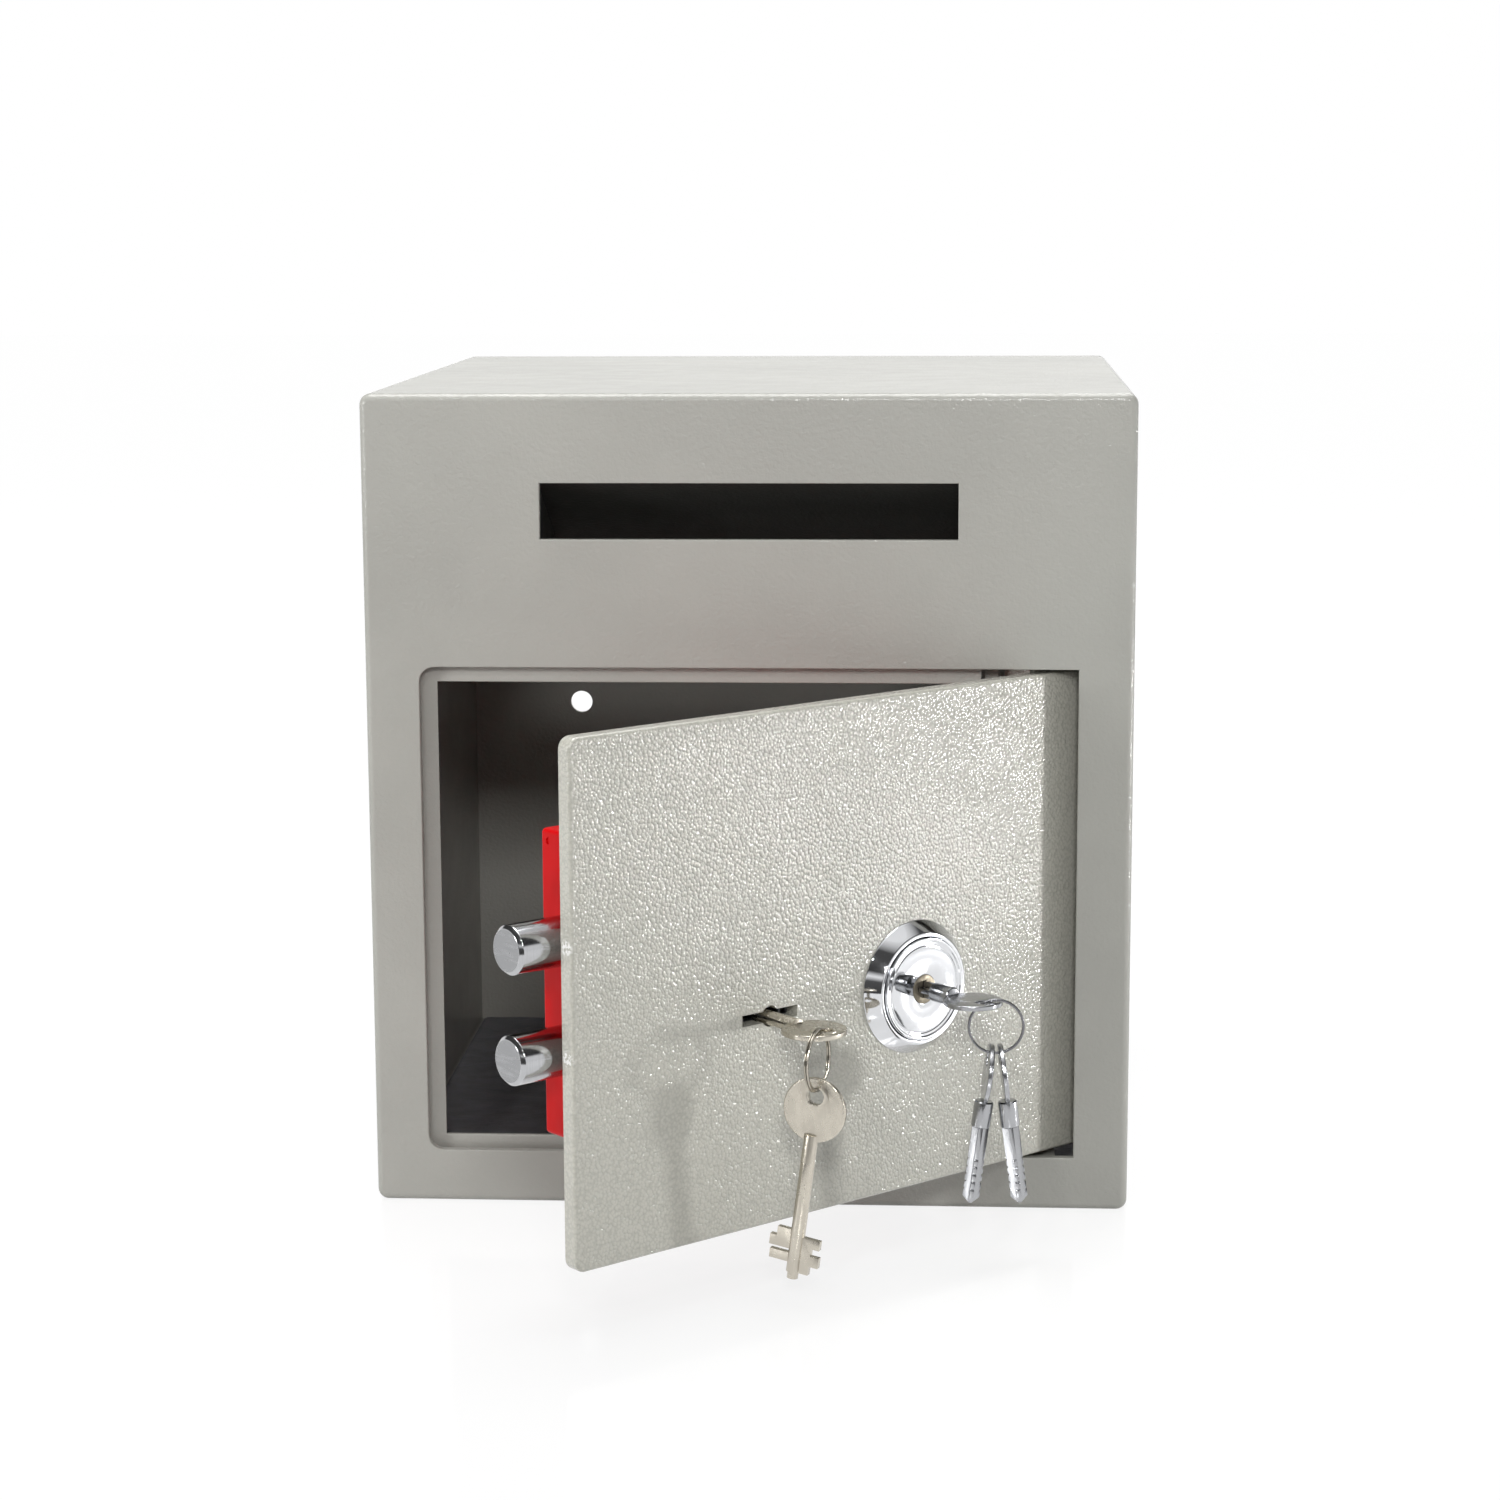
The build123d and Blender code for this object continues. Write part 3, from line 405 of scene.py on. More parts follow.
def plated_steel(name):
    """Dull zinc plate: crystals of slightly different grey with soft stains."""
    finish = Finish(name, Metallic=1.0)
    crystals = finish.cells(380)
    stain = finish.noise(45, 4, 0.6)
    tone = finish.spread(finish.sum(crystals, stain), 0.4, 1.1)
    colour = finish.blend(tone, linear((0.78, 0.79, 0.8)), linear((0.62, 0.63, 0.64)))
    finish.link(colour, "Base Color")
    finish.link(finish.spread(stain, 0.3, 0.7, 0.3, 0.46), "Roughness")
    finish.bump(crystals, 0.03 * millimetre)
    return finish.material


def finish_named(name):
    """A finish that an earlier call made, or a new one."""
    made = bpy.data.materials.get(name)
    if made:
        return made
    colours = bpy.context.scene.safe_colours
    key_grey, shaded_ring_grey = (0.68, 0.685, 0.695), (0.5, 0.5, 0.51)
    key_lines, brass_lines = (150.0, 150.0, 60.0), (300.0, 300.0, 80.0)
    recipes = {
        "grey coat": lambda: smooth_coat(name, colours),
        # The inner coat and the hood's coat are the grey coat with painted shade darkening their colour.
        "inner coat with painted shade": lambda: smooth_coat(name, colours, 0.93, 0.04),
        "thin coat with deep painted shade": lambda: smooth_coat(name, colours, 0.4, 0.04),
        "grained coat": lambda: rough_coat(name, colours),
        "red enamel": lambda: gloss_enamel(name, colours),
        "dark felt": lambda: felt(name, colours),
        "chrome": lambda: bright_metal(name, colours.chrome, 0.05),
        "turned chrome": lambda: bright_metal(
            name, [0.86 * c for c in colours.chrome], 0.1, (2600.0, 40.0, 40.0), turn=door_open
        ),
        "satin nickel": lambda: bright_metal(
            name, colours.nickel, 0.22, (150.0, 150.0, 90.0), mottle=0.3
        ),
        "brass": lambda: bright_metal(name, colours.brass, 0.3, brass_lines, mottle=0.8),
        "aged brass": lambda: bright_metal(
            name, [0.3 + 0.3 * c for c in colours.brass], 0.36, brass_lines, mottle=0.8
        ),
        "key plate": lambda: bright_metal(name, key_grey, 0.16, key_lines),
        "ring nickel": lambda: bright_metal(name, [0.86 * c for c in colours.nickel], 0.1),
        # The cross key ring's plate is a darker grey, as painted shade for the dark surroundings it
        # mirrors.
        "ring plate with painted shade": lambda: bright_metal(name, shaded_ring_grey, 0.18),
        "faced chrome": lambda: bright_metal(
            name, [0.8 * c for c in colours.chrome], 0.24, (60.0, 60.0, 500.0), mottle=1.2
        ),
        "plated steel": lambda: plated_steel(name),
    }
    return recipes[name]()


def dress(nodes, finish):
    """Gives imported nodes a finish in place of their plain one."""
    for name in nodes:
        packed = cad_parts[name]
        if not packed.material_slots:
            packed.data.materials.append(finish)
        for place in packed.material_slots:
            place.material = finish


class SafeColours(bpy.types.PropertyGroup):
    """The colours of the finishes, and how coarse the coats are."""

    cabinet: bpy.props.FloatVectorProperty(
        name="Cabinet", description="Fine powder coat of the cabinet", subtype="COLOR_GAMMA",
        size=3, min=0, max=1, default=(0.672, 0.67, 0.645),
    )
    door: bpy.props.FloatVectorProperty(
        name="Door", description="Textured powder coat of the door", subtype="COLOR_GAMMA",
        size=3, min=0, max=1, default=(0.73, 0.725, 0.685),
    )
    cover: bpy.props.FloatVectorProperty(
        name="Bolt cover", description="Sprayed enamel of the cover on the bolts",
        subtype="COLOR_GAMMA", size=3, min=0, max=1, default=(0.78, 0.03, 0.05),
    )
    mat: bpy.props.FloatVectorProperty(
        name="Mat", description="Felt of the floor mat", subtype="COLOR_GAMMA", size=3, min=0,
        max=1, default=(0.095, 0.1, 0.125),
    )
    chrome: bpy.props.FloatVectorProperty(
        name="Chrome", description="Chrome plate of the bolts, rosette and cross keys",
        subtype="COLOR_GAMMA", size=3, min=0, max=1, default=(0.86, 0.865, 0.875),
    )
    nickel: bpy.props.FloatVectorProperty(
        name="Nickel", description="Warm nickel plate of the lever keys", subtype="COLOR_GAMMA",
        size=3, min=0, max=1, default=(0.81, 0.785, 0.735),
    )
    brass: bpy.props.FloatVectorProperty(
        name="Brass", description="Bare brass of the cylinder and bushes",
        subtype="COLOR_GAMMA", size=3, min=0, max=1, default=(0.86, 0.76, 0.56),
    )
    peel_scale: bpy.props.FloatProperty(
        name="Fine coat ripples", description="Ripples of the cabinet's coat to a metre",
        default=560.0, min=50, max=2000,
    )
    peel_height: bpy.props.FloatProperty(
        name="Fine coat height", description="Height of the cabinet's ripples",
        default=0.00022, min=0, max=0.002, precision=5, unit="LENGTH",
    )
    grain_scale: bpy.props.FloatProperty(
        name="Textured coat grains", description="Grains of the door's coat to a metre",
        default=680.0, min=50, max=2000,
    )
    grain_height: bpy.props.FloatProperty(
        name="Textured coat height", description="Height of the door's grains",
        default=0.0002, min=0, max=0.002, precision=5, unit="LENGTH",
    )


class SafeSizes(bpy.types.PropertyGroup):
    """The sizes of the pieces that are built new."""

    mat_width: bpy.props.FloatProperty(
        name="Mat width", description="Cut width of the felt mat", unit="LENGTH",
        default=mat_high.x - mat_low.x, min=0.05, max=1,
    )
    mat_depth: bpy.props.FloatProperty(
        name="Mat depth", description="Cut depth of the felt mat", unit="LENGTH",
        default=mat_high.y - mat_low.y, min=0.05, max=1,
    )
    rosette_radius: bpy.props.FloatProperty(
        name="Rosette radius", description="Outer radius of the ring round the cylinder",
        unit="LENGTH", default=0.03, min=0.02, max=0.05,
    )
    rosette_front_radius: bpy.props.FloatProperty(
        name="Rosette front radius", description="Radius at the front of the rosette's bevel",
        unit="LENGTH", default=0.025, min=0.02, max=0.05,
    )
    rosette_rise: bpy.props.FloatProperty(
        name="Rosette rise", description="How far the rosette stands off the door",
        unit="LENGTH", default=0.0065, min=0.002, max=0.02,
    )
    bolt_radius: bpy.props.FloatProperty(
        name="Bolt radius", description="Radius of the two round bolts", unit="LENGTH",
        default=0.0105, min=0.004, max=0.02,
    )
    bolt_chamfer: bpy.props.FloatProperty(
        name="Bolt chamfer", description="Chamfer on the bolts' free ends", unit="LENGTH",
        default=0.0015, min=0.0, max=0.005,
    )
    lever_ring_radius: bpy.props.FloatProperty(
        name="Lever key ring", description="Radius of the ring on the lever keys",
        unit="LENGTH", default=0.0127, min=0.005, max=0.03,
    )
    cross_ring_radius: bpy.props.FloatProperty(
        name="Cross key ring", description="Radius of the ring on the cross keys",
        unit="LENGTH", default=0.0118, min=0.005, max=0.03,
    )


class SAFE_OT_cabinet(bpy.types.Operator):
    """Coats the cabinet, its strips, hood and hinge brackets, and makes the hinge bushes brass"""

    bl_idname = "safe.cabinet"
    bl_label = "Cabinet"

    def execute(self, context):
        dress(coat_nodes, finish_named("grey coat"))
        # The back panel's grey coat is a little darker, as painted shade inside the safe.
        dress(("back_panel",), finish_named("inner coat with painted shade"))
        # The hood keeps the grey coat, its colour darkened as painted shade, since hardly any light gets
        # behind the slot.
        dress(("slot_hood",), finish_named("thin coat with deep painted shade"))
        dress(("hinge_bush_upper", "hinge_bush_lower"), finish_named("brass"))
        return {"FINISHED"}


class SAFE_OT_mat(bpy.types.Operator):
    """Lays the felt mat on the floor of the safe"""

    bl_idname = "safe.mat"
    bl_label = "Felt mat"

    def execute(self, context):
        sizes = context.scene.safe_sizes
        columns, rows = 171, 161
        middle = (mat_low + mat_high) / 2
        u = np.linspace(-1, 1, columns)[None, :]
        v = np.linspace(-1, 1, rows)[:, None]
        x = middle.x + u * sizes.mat_width / 2 + 0 * v
        y = middle.y + v * sizes.mat_depth / 2 + 0 * u
        # The nap is the product of two bent waves, and the top falls in a quarter round at the edge.
        nap = np.sin(x * 190 + 2 * np.sin(y * 83)) * np.sin(y * 210 + 2 * np.sin(x * 71))
        edge_width = 2 * millimetre
        edge_height, round_height, nap_height = 0.55, 0.37, 0.08
        edge_x = (1 - abs(u)) * sizes.mat_width / 2
        edge_y = (1 - abs(v)) * sizes.mat_depth / 2
        edge = np.clip(np.minimum(edge_x, edge_y) / edge_width, 0, 1)
        rim = np.sqrt(1 - (1 - edge) ** 2)
        thick = mat_high.z - mat_low.z
        top = mat_low.z + thick * (edge_height + round_height * rim) + nap_height * thick * nap * rim
        base = np.full_like(top, mat_low.z)
        points = np.concatenate([np.stack([x, y, z], -1).reshape(-1, 3) for z in (top, base)])
        sheet = grid_faces(rows, columns)
        count = rows * columns
        number = np.arange(count).reshape(rows, columns)
        rim_line = np.concatenate(
            [number[0, :-1], number[:-1, -1], number[-1, :0:-1], number[:0:-1, 0]]
        )
        following = np.roll(rim_line, -1)
        wall = np.stack([rim_line, following, following + count, rim_line + count], -1)
        faces = np.concatenate([sheet, sheet[:, ::-1] + count, wall[:, ::-1]])
        mat = new_piece("felt_mat", points, faces, finish_named("dark felt"), "cabinet")
        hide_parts("floor_mat")
        return {"FINISHED"}


class SAFE_OT_door(bpy.types.Operator):
    """Coats the door and its knuckles, and enamels the bolt cover"""

    bl_idname = "safe.door"
    bl_label = "Door"

    def execute(self, context):
        dress(door_nodes, finish_named("grained coat"))
        dress(("bolt_housing",), finish_named("red enamel"))
        return {"FINISHED"}


class SAFE_OT_bolt_work(bpy.types.Operator):
    """Turns the two round bolts and plates the rest of the bolt work"""

    bl_idname = "safe.bolt_work"
    bl_label = "Bolt work"

    def execute(self, context):
        sizes = context.scene.safe_sizes
        radius, cut = sizes.bolt_radius, sizes.bolt_chamfer
        free_end, inner_end = -17 * millimetre, 64.5 * millimetre
        behind_front = 21.4 * millimetre
        dish, dish_rim = 0.12 * millimetre, 0.8 * millimetre
        corners = [
            (0, free_end + dish), (radius - cut - dish_rim, free_end), (radius - cut, free_end),
            (radius, free_end + cut), (radius, inner_end), (0, inner_end),
        ]
        profile = rounded(corners, 0.3 * millimetre)
        for name, height in zip(("bolt_lower", "bolt_upper"), bolt_heights):
            centre = (door_free_edge, door_front + behind_front, height)
            bolt = lathe(
                "round_" + name, profile, centre, (1, 0, 0), finish_named("turned chrome"),
                "bolt_work",
            )
            # The faced end is satin: its faces are those that look straight out of the free end.
            bolt.data.materials.append(finish_named("faced chrome"))
            normals = np.empty(len(bolt.data.polygons) * 3)
            bolt.data.polygons.foreach_get("normal", normals)
            along = np.array((cos(door_open), sin(door_open), 0.0))
            outer = normals.reshape(-1, 3) @ along < -0.97
            bolt.data.polygons.foreach_set("material_index", outer.astype(np.int32))
            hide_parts(name)
        dress(steel_nodes, finish_named("plated steel"))
        return {"FINISHED"}


class SAFE_OT_lever_lock(bpy.types.Operator):
    """Makes the levers behind the keyhole brass"""

    bl_idname = "safe.lever_lock"
    bl_label = "Lever lock"

    def execute(self, context):
        dress(("lock_levers",), finish_named("brass"))
        return {"FINISHED"}


class SAFE_OT_cylinder_lock(bpy.types.Operator):
    """Turns the bevelled rosette and the head of the cylinder, and rolls the plug's edges"""

    bl_idname = "safe.cylinder_lock"
    bl_label = "Cylinder lock"

    def execute(self, context):
        sizes = context.scene.safe_sizes
        centre = (door_free_edge + cylinder_from_free_edge, door_front, cylinder_height)
        outwards = (0, -1, 0)
        rise, rim_height, pocket = sizes.rosette_rise, 0.5 * millimetre, 1.2 * millimetre
        pocket_radius, hole_radius = 23.2 * millimetre, 11.2 * millimetre
        ring = rounded(
            [
                (hole_radius, 0), (sizes.rosette_radius, 0), (sizes.rosette_radius, rim_height),
                (sizes.rosette_front_radius, rise), (pocket_radius, rise), (pocket_radius, pocket),
                (hole_radius, pocket),
            ],
            0.45 * millimetre, 4, closed=True,
        )
        rosette = lathe(
            "bevelled_rosette", ring, centre, outwards, finish_named("chrome"), "door",
            ring=True,
        )
        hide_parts("rosette")
        head, lip, lip_slope = 22.9 * millimetre, 21.7 * millimetre, 0.4 * millimetre
        face, rim, barrel_end = 7.0 * millimetre, 7.5 * millimetre, -27.5 * millimetre
        bore, barrel = 6.55 * millimetre, 11.0 * millimetre
        groove = [19.2 * millimetre, 19.5 * millimetre, 19.9 * millimetre, 20.2 * millimetre]
        groove_floor = face - 0.3 * millimetre
        outline = rounded(
            [
                (bore, face), (groove[0], face), (groove[1], groove_floor),
                (groove[2], groove_floor), (groove[3], face), (lip - lip_slope, face),
                (lip, rim), (head, rim), (head, pocket), (barrel, pocket), (barrel, barrel_end),
                (bore, barrel_end),
            ],
            0.22 * millimetre, 3, closed=True,
        )
        body = lathe(
            "cylinder_head", outline, centre, outwards, finish_named("chrome"), "door",
            ring=True,
        )
        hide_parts("cylinder_body")
        dress(("cylinder_nut",), finish_named("brass"))
        softened(
            "cylinder_plug", "keyed_plug", 0.12 * millimetre, finish_named("aged brass"), "plug",
        )
        return {"FINISHED"}


def level_loop(turn):
    """The level direction in the plane of a ring that is turned from straight out of the door."""
    angle = radians(turn) + door_open
    return sin(angle), -cos(angle)


def wound_ring(name, node, loop, radius, wire, finish, body):
    """A flat wire wound twice: its section follows a circle and steps sideways after one turn.

    The section is a rounded oblong whose points are powers of a cosine and a sine. It is twice as
    wide, outwards from the ring's middle, as it is thick.
    """
    low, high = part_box(node)
    centre = (low + high) / 2
    out = np.array((*loop, 0.0))
    up = np.array((0.0, 0.0, 1.0))
    side = np.cross(out, up)
    end_gap, step, start = 0.35, 0.55, -2.2
    t = np.linspace(end_gap, 4 * pi - end_gap, 400)[:, None]
    across = np.clip((t - 2 * pi + step) / (2 * step), 0, 1)
    shift = (across * across * (3 - 2 * across) - 0.5) * wire
    spoke = np.cos(t + start) * out + np.sin(t + start) * up
    middle = np.array(centre) + radius * spoke + shift * side
    angle = np.linspace(0, 2 * pi, 20, endpoint=False)
    squareness = 0.8
    outwards = np.sign(np.cos(angle)) * abs(np.cos(angle)) ** squareness * wire * 0.98
    sideways = np.sign(np.sin(angle)) * abs(np.sin(angle)) ** squareness * wire * 0.48
    # The ends taper to nothing over their last few steps, so the tube is closed.
    taper = np.ones(len(t))
    taper[:3] = (0.0, 0.75, 0.95)
    taper[-3:] = (0.95, 0.75, 0.0)
    offset = outwards[None, :, None] * spoke[:, None] + sideways[None, :, None] * side
    points = middle[:, None] + taper[:, None, None] * offset
    faces = grid_faces(len(t), len(angle), wrap_columns=True)
    ring = new_piece(name, points, faces, finish, body)
    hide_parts(node)


class SAFE_OT_key_rings(bpy.types.Operator):
    """Winds the two split rings"""

    bl_idname = "safe.key_rings"
    bl_label = "Key rings"

    def execute(self, context):
        sizes = context.scene.safe_sizes
        lever_turn, lever_wire = -62.7, 0.95 * millimetre
        cross_turn, cross_wire = 50.3, 0.6 * millimetre
        wound_ring(
            "split_ring_lever", "lever_key_ring", level_loop(lever_turn), sizes.lever_ring_radius,
            lever_wire, finish_named("ring nickel"), "lever_ring",
        )
        wound_ring(
            "split_ring_cross", "cross_key_ring", level_loop(cross_turn), sizes.cross_ring_radius,
            cross_wire, finish_named("ring plate with painted shade"), "cross_ring",
        )
        return {"FINISHED"}


def bow_lip(name, centre, axis, finish, body):
    """A raised lip round the hole of a lever key's bow, on both faces."""
    bore, rim, half = 4.3 * millimetre, 5.8 * millimetre, 1.45 * millimetre
    corners = [(bore, -half), (rim, -half), (rim, half), (bore, half)]
    profile = rounded(corners, 0.45 * millimetre, 3, closed=True)
    steps = 48
    points = turned(profile, centre, axis, steps)
    faces = grid_faces(len(profile), steps, wrap_rows=True, wrap_columns=True)
    new_piece(name, points, faces, finish, body)


class SAFE_OT_keys(bpy.types.Operator):
    """Rolls the edges of the lever keys and cross keys, and adds the lips round the lever keys' holes"""

    bl_idname = "safe.keys"
    bl_label = "Keys"

    def execute(self, context):
        nickel, plate = finish_named("satin nickel"), finish_named("key plate")
        lever_edge, cross_edge = 0.3 * millimetre, 0.2 * millimetre
        softened("lever_key", "lever_key_worn", lever_edge, nickel, "key_in_lever_lock")
        softened("lever_key_spare", "lever_spare_worn", lever_edge, nickel, "lever_spare")
        bow_lip("key_bow_lip", key_hole, (0.0, 0.0, 1.0), nickel, "key_in_lever_lock")
        bow_lip("spare_bow_lip", spare_hole, spare_across, nickel, "lever_spare")
        softened(
            "cross_key", "cross_key_worn", cross_edge, plate, "key_in_cylinder"
        )
        for side in ("left", "right"):
            softened(
                "cross_key_spare_" + side, "cross_spare_" + side + "_worn", cross_edge, plate,
                "cross_spare_" + side,
            )
        return {"FINISHED"}


def dark_card(name, azimuths, elevations, radius, depth):
    """A patch of a sphere that only mirrors see, nearly white at its level edges and dark between.

    Its points are the radius times (cosine of elevation times cosine and sine of azimuth, sine of
    elevation), round a point in front of the door, and its glow follows the height.
    """
    low, high = (radians(e) for e in elevations)
    columns, rows = 97, 25
    azimuth = np.radians(np.linspace(*azimuths, columns))[None, :]
    elevation = np.linspace(low, high, rows)[:, None]
    level = np.cos(elevation)
    parts = (level * np.cos(azimuth), level * np.sin(azimuth), np.sin(elevation) + 0 * azimuth)
    points = card_middle + radius * np.stack(parts, -1)
    mesh = bpy.data.meshes.new(name)
    mesh.from_pydata(points.reshape(-1, 3).tolist(), [], grid_faces(rows, columns).tolist())
    material = bpy.data.materials.new(name)
    material.use_nodes = True
    tree = material.node_tree
    tree.nodes.clear()
    place = tree.nodes.new("ShaderNodeTexCoord")
    split = tree.nodes.new("ShaderNodeSeparateXYZ")
    tree.links.new(place.outputs["Object"], split.inputs[0])
    ramp = tree.nodes.new("ShaderNodeMapRange")
    tree.links.new(split.outputs["Z"], ramp.inputs[0])
    ramp.inputs[1].default_value = card_middle[2] + radius * sin(low)
    ramp.inputs[2].default_value = card_middle[2] + radius * sin(high)
    tone = tree.nodes.new("ShaderNodeValToRGB")
    tree.links.new(ramp.outputs[0], tone.inputs[0])
    edge_glow = 0.9
    stops = ((0.0, edge_glow), (0.16, depth), (0.8, depth * 1.6), (1.0, edge_glow))
    for number, (at, value) in enumerate(stops):
        elements = tone.color_ramp.elements
        stop = elements[number] if number < 2 else elements.new(at)
        stop.position = at
        stop.color = (value, value, value, 1.0)
    glow = tree.nodes.new("ShaderNodeEmission")
    tree.links.new(tone.outputs[0], glow.inputs["Color"])
    end = tree.nodes.new("ShaderNodeOutputMaterial")
    tree.links.new(glow.outputs[0], end.inputs["Surface"])
    mesh.materials.append(material)
    card = bpy.data.objects.new(name, mesh)
    bpy.context.scene.collection.objects.link(card)
    card.visible_camera = card.visible_diffuse = card.visible_shadow = False
    card.visible_transmission = False


def add_lamp(name, place, target, power, width, height=None):
    """An area lamp of so many watts aimed at a target, seen only in what it lights and in mirrors."""
    light = bpy.data.lights.new(name, "AREA")
    light.shape = "RECTANGLE"
    light.size = width
    light.size_y = height or width
    light.energy = power
    lamp = bpy.data.objects.new(name, light)
    bpy.context.scene.collection.objects.link(lamp)
    lamp.location = place
    lamp.rotation_euler = (Vector(target) - Vector(place)).to_track_quat("-Z", "Y").to_euler()
    lamp.visible_camera = False


def shown_rays(tree):
    """One for rays from the camera, or by way of a mirror or glass, and else nothing."""
    path = tree.nodes.new("ShaderNodeLightPath")
    total = path.outputs["Is Camera Ray"]
    for name in ("Is Glossy Ray", "Is Transmission Ray"):
        add = tree.nodes.new("ShaderNodeMath")
        add.operation = "MAXIMUM"
        tree.links.new(total, add.inputs[0])
        tree.links.new(path.outputs[name], add.inputs[1])
        total = add.outputs[0]
    return total


def make_world():
    """A white surround for camera and mirror rays, and a faint white light for the rest."""
    world = bpy.data.worlds.new("studio")
    bpy.context.scene.world = world
    world.use_nodes = True
    tree = world.node_tree
    plain, white = tree.nodes["Background"], tree.nodes.new("ShaderNodeBackground")
    for background, strength in ((plain, 0.1), (white, 1.0)):
        background.inputs["Color"].default_value = (1.0, 1.0, 1.0, 1.0)
        background.inputs["Strength"].default_value = strength
    mix = tree.nodes.new("ShaderNodeMixShader")
    tree.links.new(shown_rays(tree), mix.inputs[0])
    tree.links.new(plain.outputs[0], mix.inputs[1])
    tree.links.new(white.outputs[0], mix.inputs[2])
    tree.links.new(mix.outputs[0], tree.nodes["World Output"].inputs["Surface"])


def floor_finish():
    """Pale floor: matt grey for the light it throws back, and for shown rays a glow with faint shine.

    The glow rises to white far off, and a little matt white added to it keeps the shadows.
    """
    material = bpy.data.materials.new("studio floor")
    material.use_nodes = True
    tree = material.node_tree
    tree.nodes.clear()
    new = tree.nodes.new

    def join(value, socket):
        tree.links.new(value, socket)

    matt, lit = new("ShaderNodeBsdfDiffuse"), new("ShaderNodeBsdfDiffuse")
    for diffuse, grey in ((matt, 0.6), (lit, 0.17)):
        diffuse.inputs["Color"].default_value = (grey, grey, grey, 1)
    glow, shine = new("ShaderNodeEmission"), new("ShaderNodeBsdfGlossy")
    shine.inputs["Roughness"].default_value = 0.07
    place = new("ShaderNodeTexCoord")
    length = new("ShaderNodeVectorMath")
    length.operation = "LENGTH"
    join(place.outputs["Object"], length.inputs[0])
    far = new("ShaderNodeMapRange")
    far.interpolation_type = "SMOOTHSTEP"
    near_distance, far_distance, near_glow, far_glow = 0.5, 2.2, 0.9, 1.0
    for number, value in enumerate((near_distance, far_distance, near_glow, far_glow), 1):
        far.inputs[number].default_value = value
    join(length.outputs["Value"], far.inputs[0])
    join(far.outputs[0], glow.inputs["Strength"])
    add, gloss = new("ShaderNodeAddShader"), new("ShaderNodeMixShader")
    pick = new("ShaderNodeMixShader")
    join(lit.outputs[0], add.inputs[0])
    join(glow.outputs[0], add.inputs[1])
    shine_share = 0.1
    gloss.inputs[0].default_value = shine_share
    join(add.outputs[0], gloss.inputs[1])
    join(shine.outputs[0], gloss.inputs[2])
    join(shown_rays(tree), pick.inputs[0])
    join(matt.outputs[0], pick.inputs[1])
    join(gloss.outputs[0], pick.inputs[2])
    join(pick.outputs[0], new("ShaderNodeOutputMaterial").inputs["Surface"])
    return material


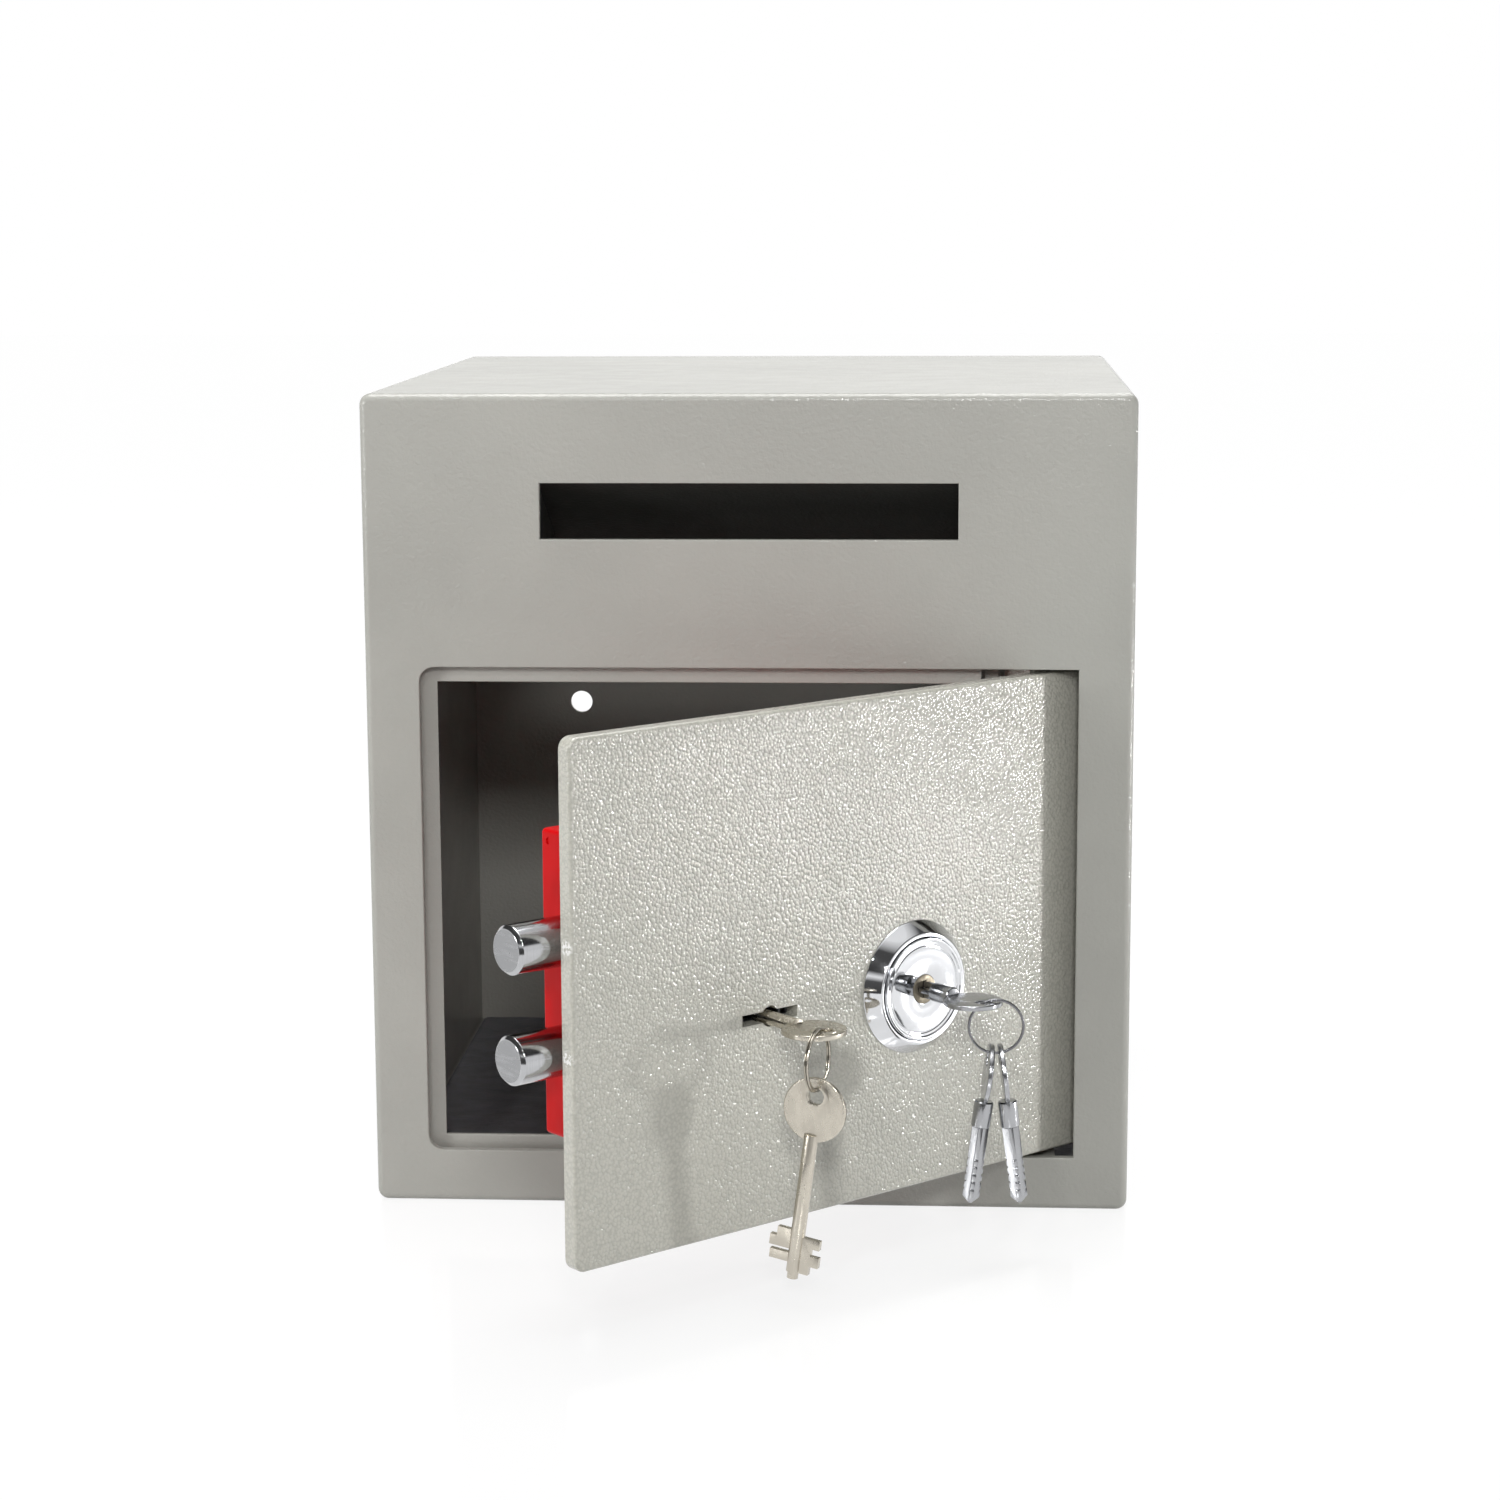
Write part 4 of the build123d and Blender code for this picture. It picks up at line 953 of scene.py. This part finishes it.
class SAFE_OT_stage(bpy.types.Operator):
    """Sets the pale floor, the soft studio light and the camera"""

    bl_idname = "safe.stage"
    bl_label = "Stage"

    def execute(self, context):
        reach, count = 9.0, 41
        line = np.linspace(-reach, reach, count)
        x, y = np.meshgrid(line, line)
        points = np.stack([x, y, np.zeros_like(x)], -1).reshape(-1, 3)
        mesh = bpy.data.meshes.new("floor")
        mesh.from_pydata(points.tolist(), [], grid_faces(count, count).tolist())
        mesh.materials.append(floor_finish())
        floor = bpy.data.objects.new("floor", mesh)
        context.scene.collection.objects.link(floor)
        make_world()
        dark_card("high dark card", (-180, 180), (16, 64), 2.9, 0.05)
        dark_card("front dark card", (-150, -62), (-14, 14), 0.8, 0.06)
        add_lamp("right softbox", (0.86, -0.23, 0.115), (0.03, -0.2, 0.17), 2.15, 0.07, 0.09)
        add_lamp("top softbox", (-0.1, 0.0, 1.55), (0, 0, 0.3), 19.0, 0.9)
        add_lamp("front softbox", (0.2, -1.9, 0.96), (0, -0.1, 0.18), 12.0, 0.28)
        add_lamp("glint softbox", (-0.3, -1.7, 1.32), (0, -0.2, 0.12), 4.0, 0.05)
        add_lamp("left softbox", (-1.3, -1.0, 0.5), (-0.1, -0.3, 0.14), 9.6, 0.4)
        add_lamp("back softbox", (0.5, 1.3, 1.6), (0, 0.1, 0.2), 10.0, 0.8)
        camera = bpy.data.objects.new("camera", bpy.data.cameras.new("camera"))
        context.scene.collection.objects.link(camera)
        turn = (
            Matrix.Rotation(camera_heading, 3, "Z") @ Matrix.Rotation(camera_tilt, 3, "X")
            @ Matrix.Rotation(camera_roll, 3, "Y")
        )
        right, ahead, up = (turn @ Vector(axis) for axis in ((1, 0, 0), (0, 1, 0), (0, 0, 1)))
        place = Matrix((right, up, -ahead)).transposed().to_4x4()
        place.translation = camera_place
        camera.matrix_world = place
        camera.data.sensor_fit = "HORIZONTAL"
        camera.data.sensor_width = 36.0
        camera.data.lens = camera_lens
        camera.data.clip_start = 0.05
        context.scene.camera = camera
        context.scene.view_settings.view_transform = "Standard"
        return {"FINISHED"}


operators = (
    SAFE_OT_cabinet, SAFE_OT_mat, SAFE_OT_door, SAFE_OT_bolt_work, SAFE_OT_lever_lock,
    SAFE_OT_cylinder_lock, SAFE_OT_key_rings, SAFE_OT_keys, SAFE_OT_stage,
)


class SAFE_PT_sidebar(bpy.types.Panel):
    """The safe's pieces, sizes and colours"""

    bl_idname = "SAFE_PT_sidebar"
    bl_label = "Deposit safe"
    bl_space_type = "VIEW_3D"
    bl_region_type = "UI"
    bl_category = "Deposit safe"

    def draw(self, context):
        for operator in operators:
            self.layout.operator(operator.bl_idname)
        for group in (context.scene.safe_sizes, context.scene.safe_colours):
            box = self.layout.box()
            for name in group.__annotations__:
                box.prop(group, name)


def register():
    """Makes the sizes, colours, operators and panel known to Blender."""
    for kind in (SafeColours, SafeSizes, *operators, SAFE_PT_sidebar):
        bpy.utils.register_class(kind)
    bpy.types.Scene.safe_colours = bpy.props.PointerProperty(type=SafeColours)
    bpy.types.Scene.safe_sizes = bpy.props.PointerProperty(type=SafeSizes)


def unregister():
    """Takes back what register made known."""
    del bpy.types.Scene.safe_sizes, bpy.types.Scene.safe_colours
    for kind in (SAFE_PT_sidebar, *reversed(operators), SafeSizes, SafeColours):
        bpy.utils.unregister_class(kind)


def main():
    """Builds every piece and the stage."""
    register()
    for operator in operators:
        group, name = operator.bl_idname.split(".")
        getattr(getattr(bpy.ops, group), name)()


if __name__ == "__main__":
    main()
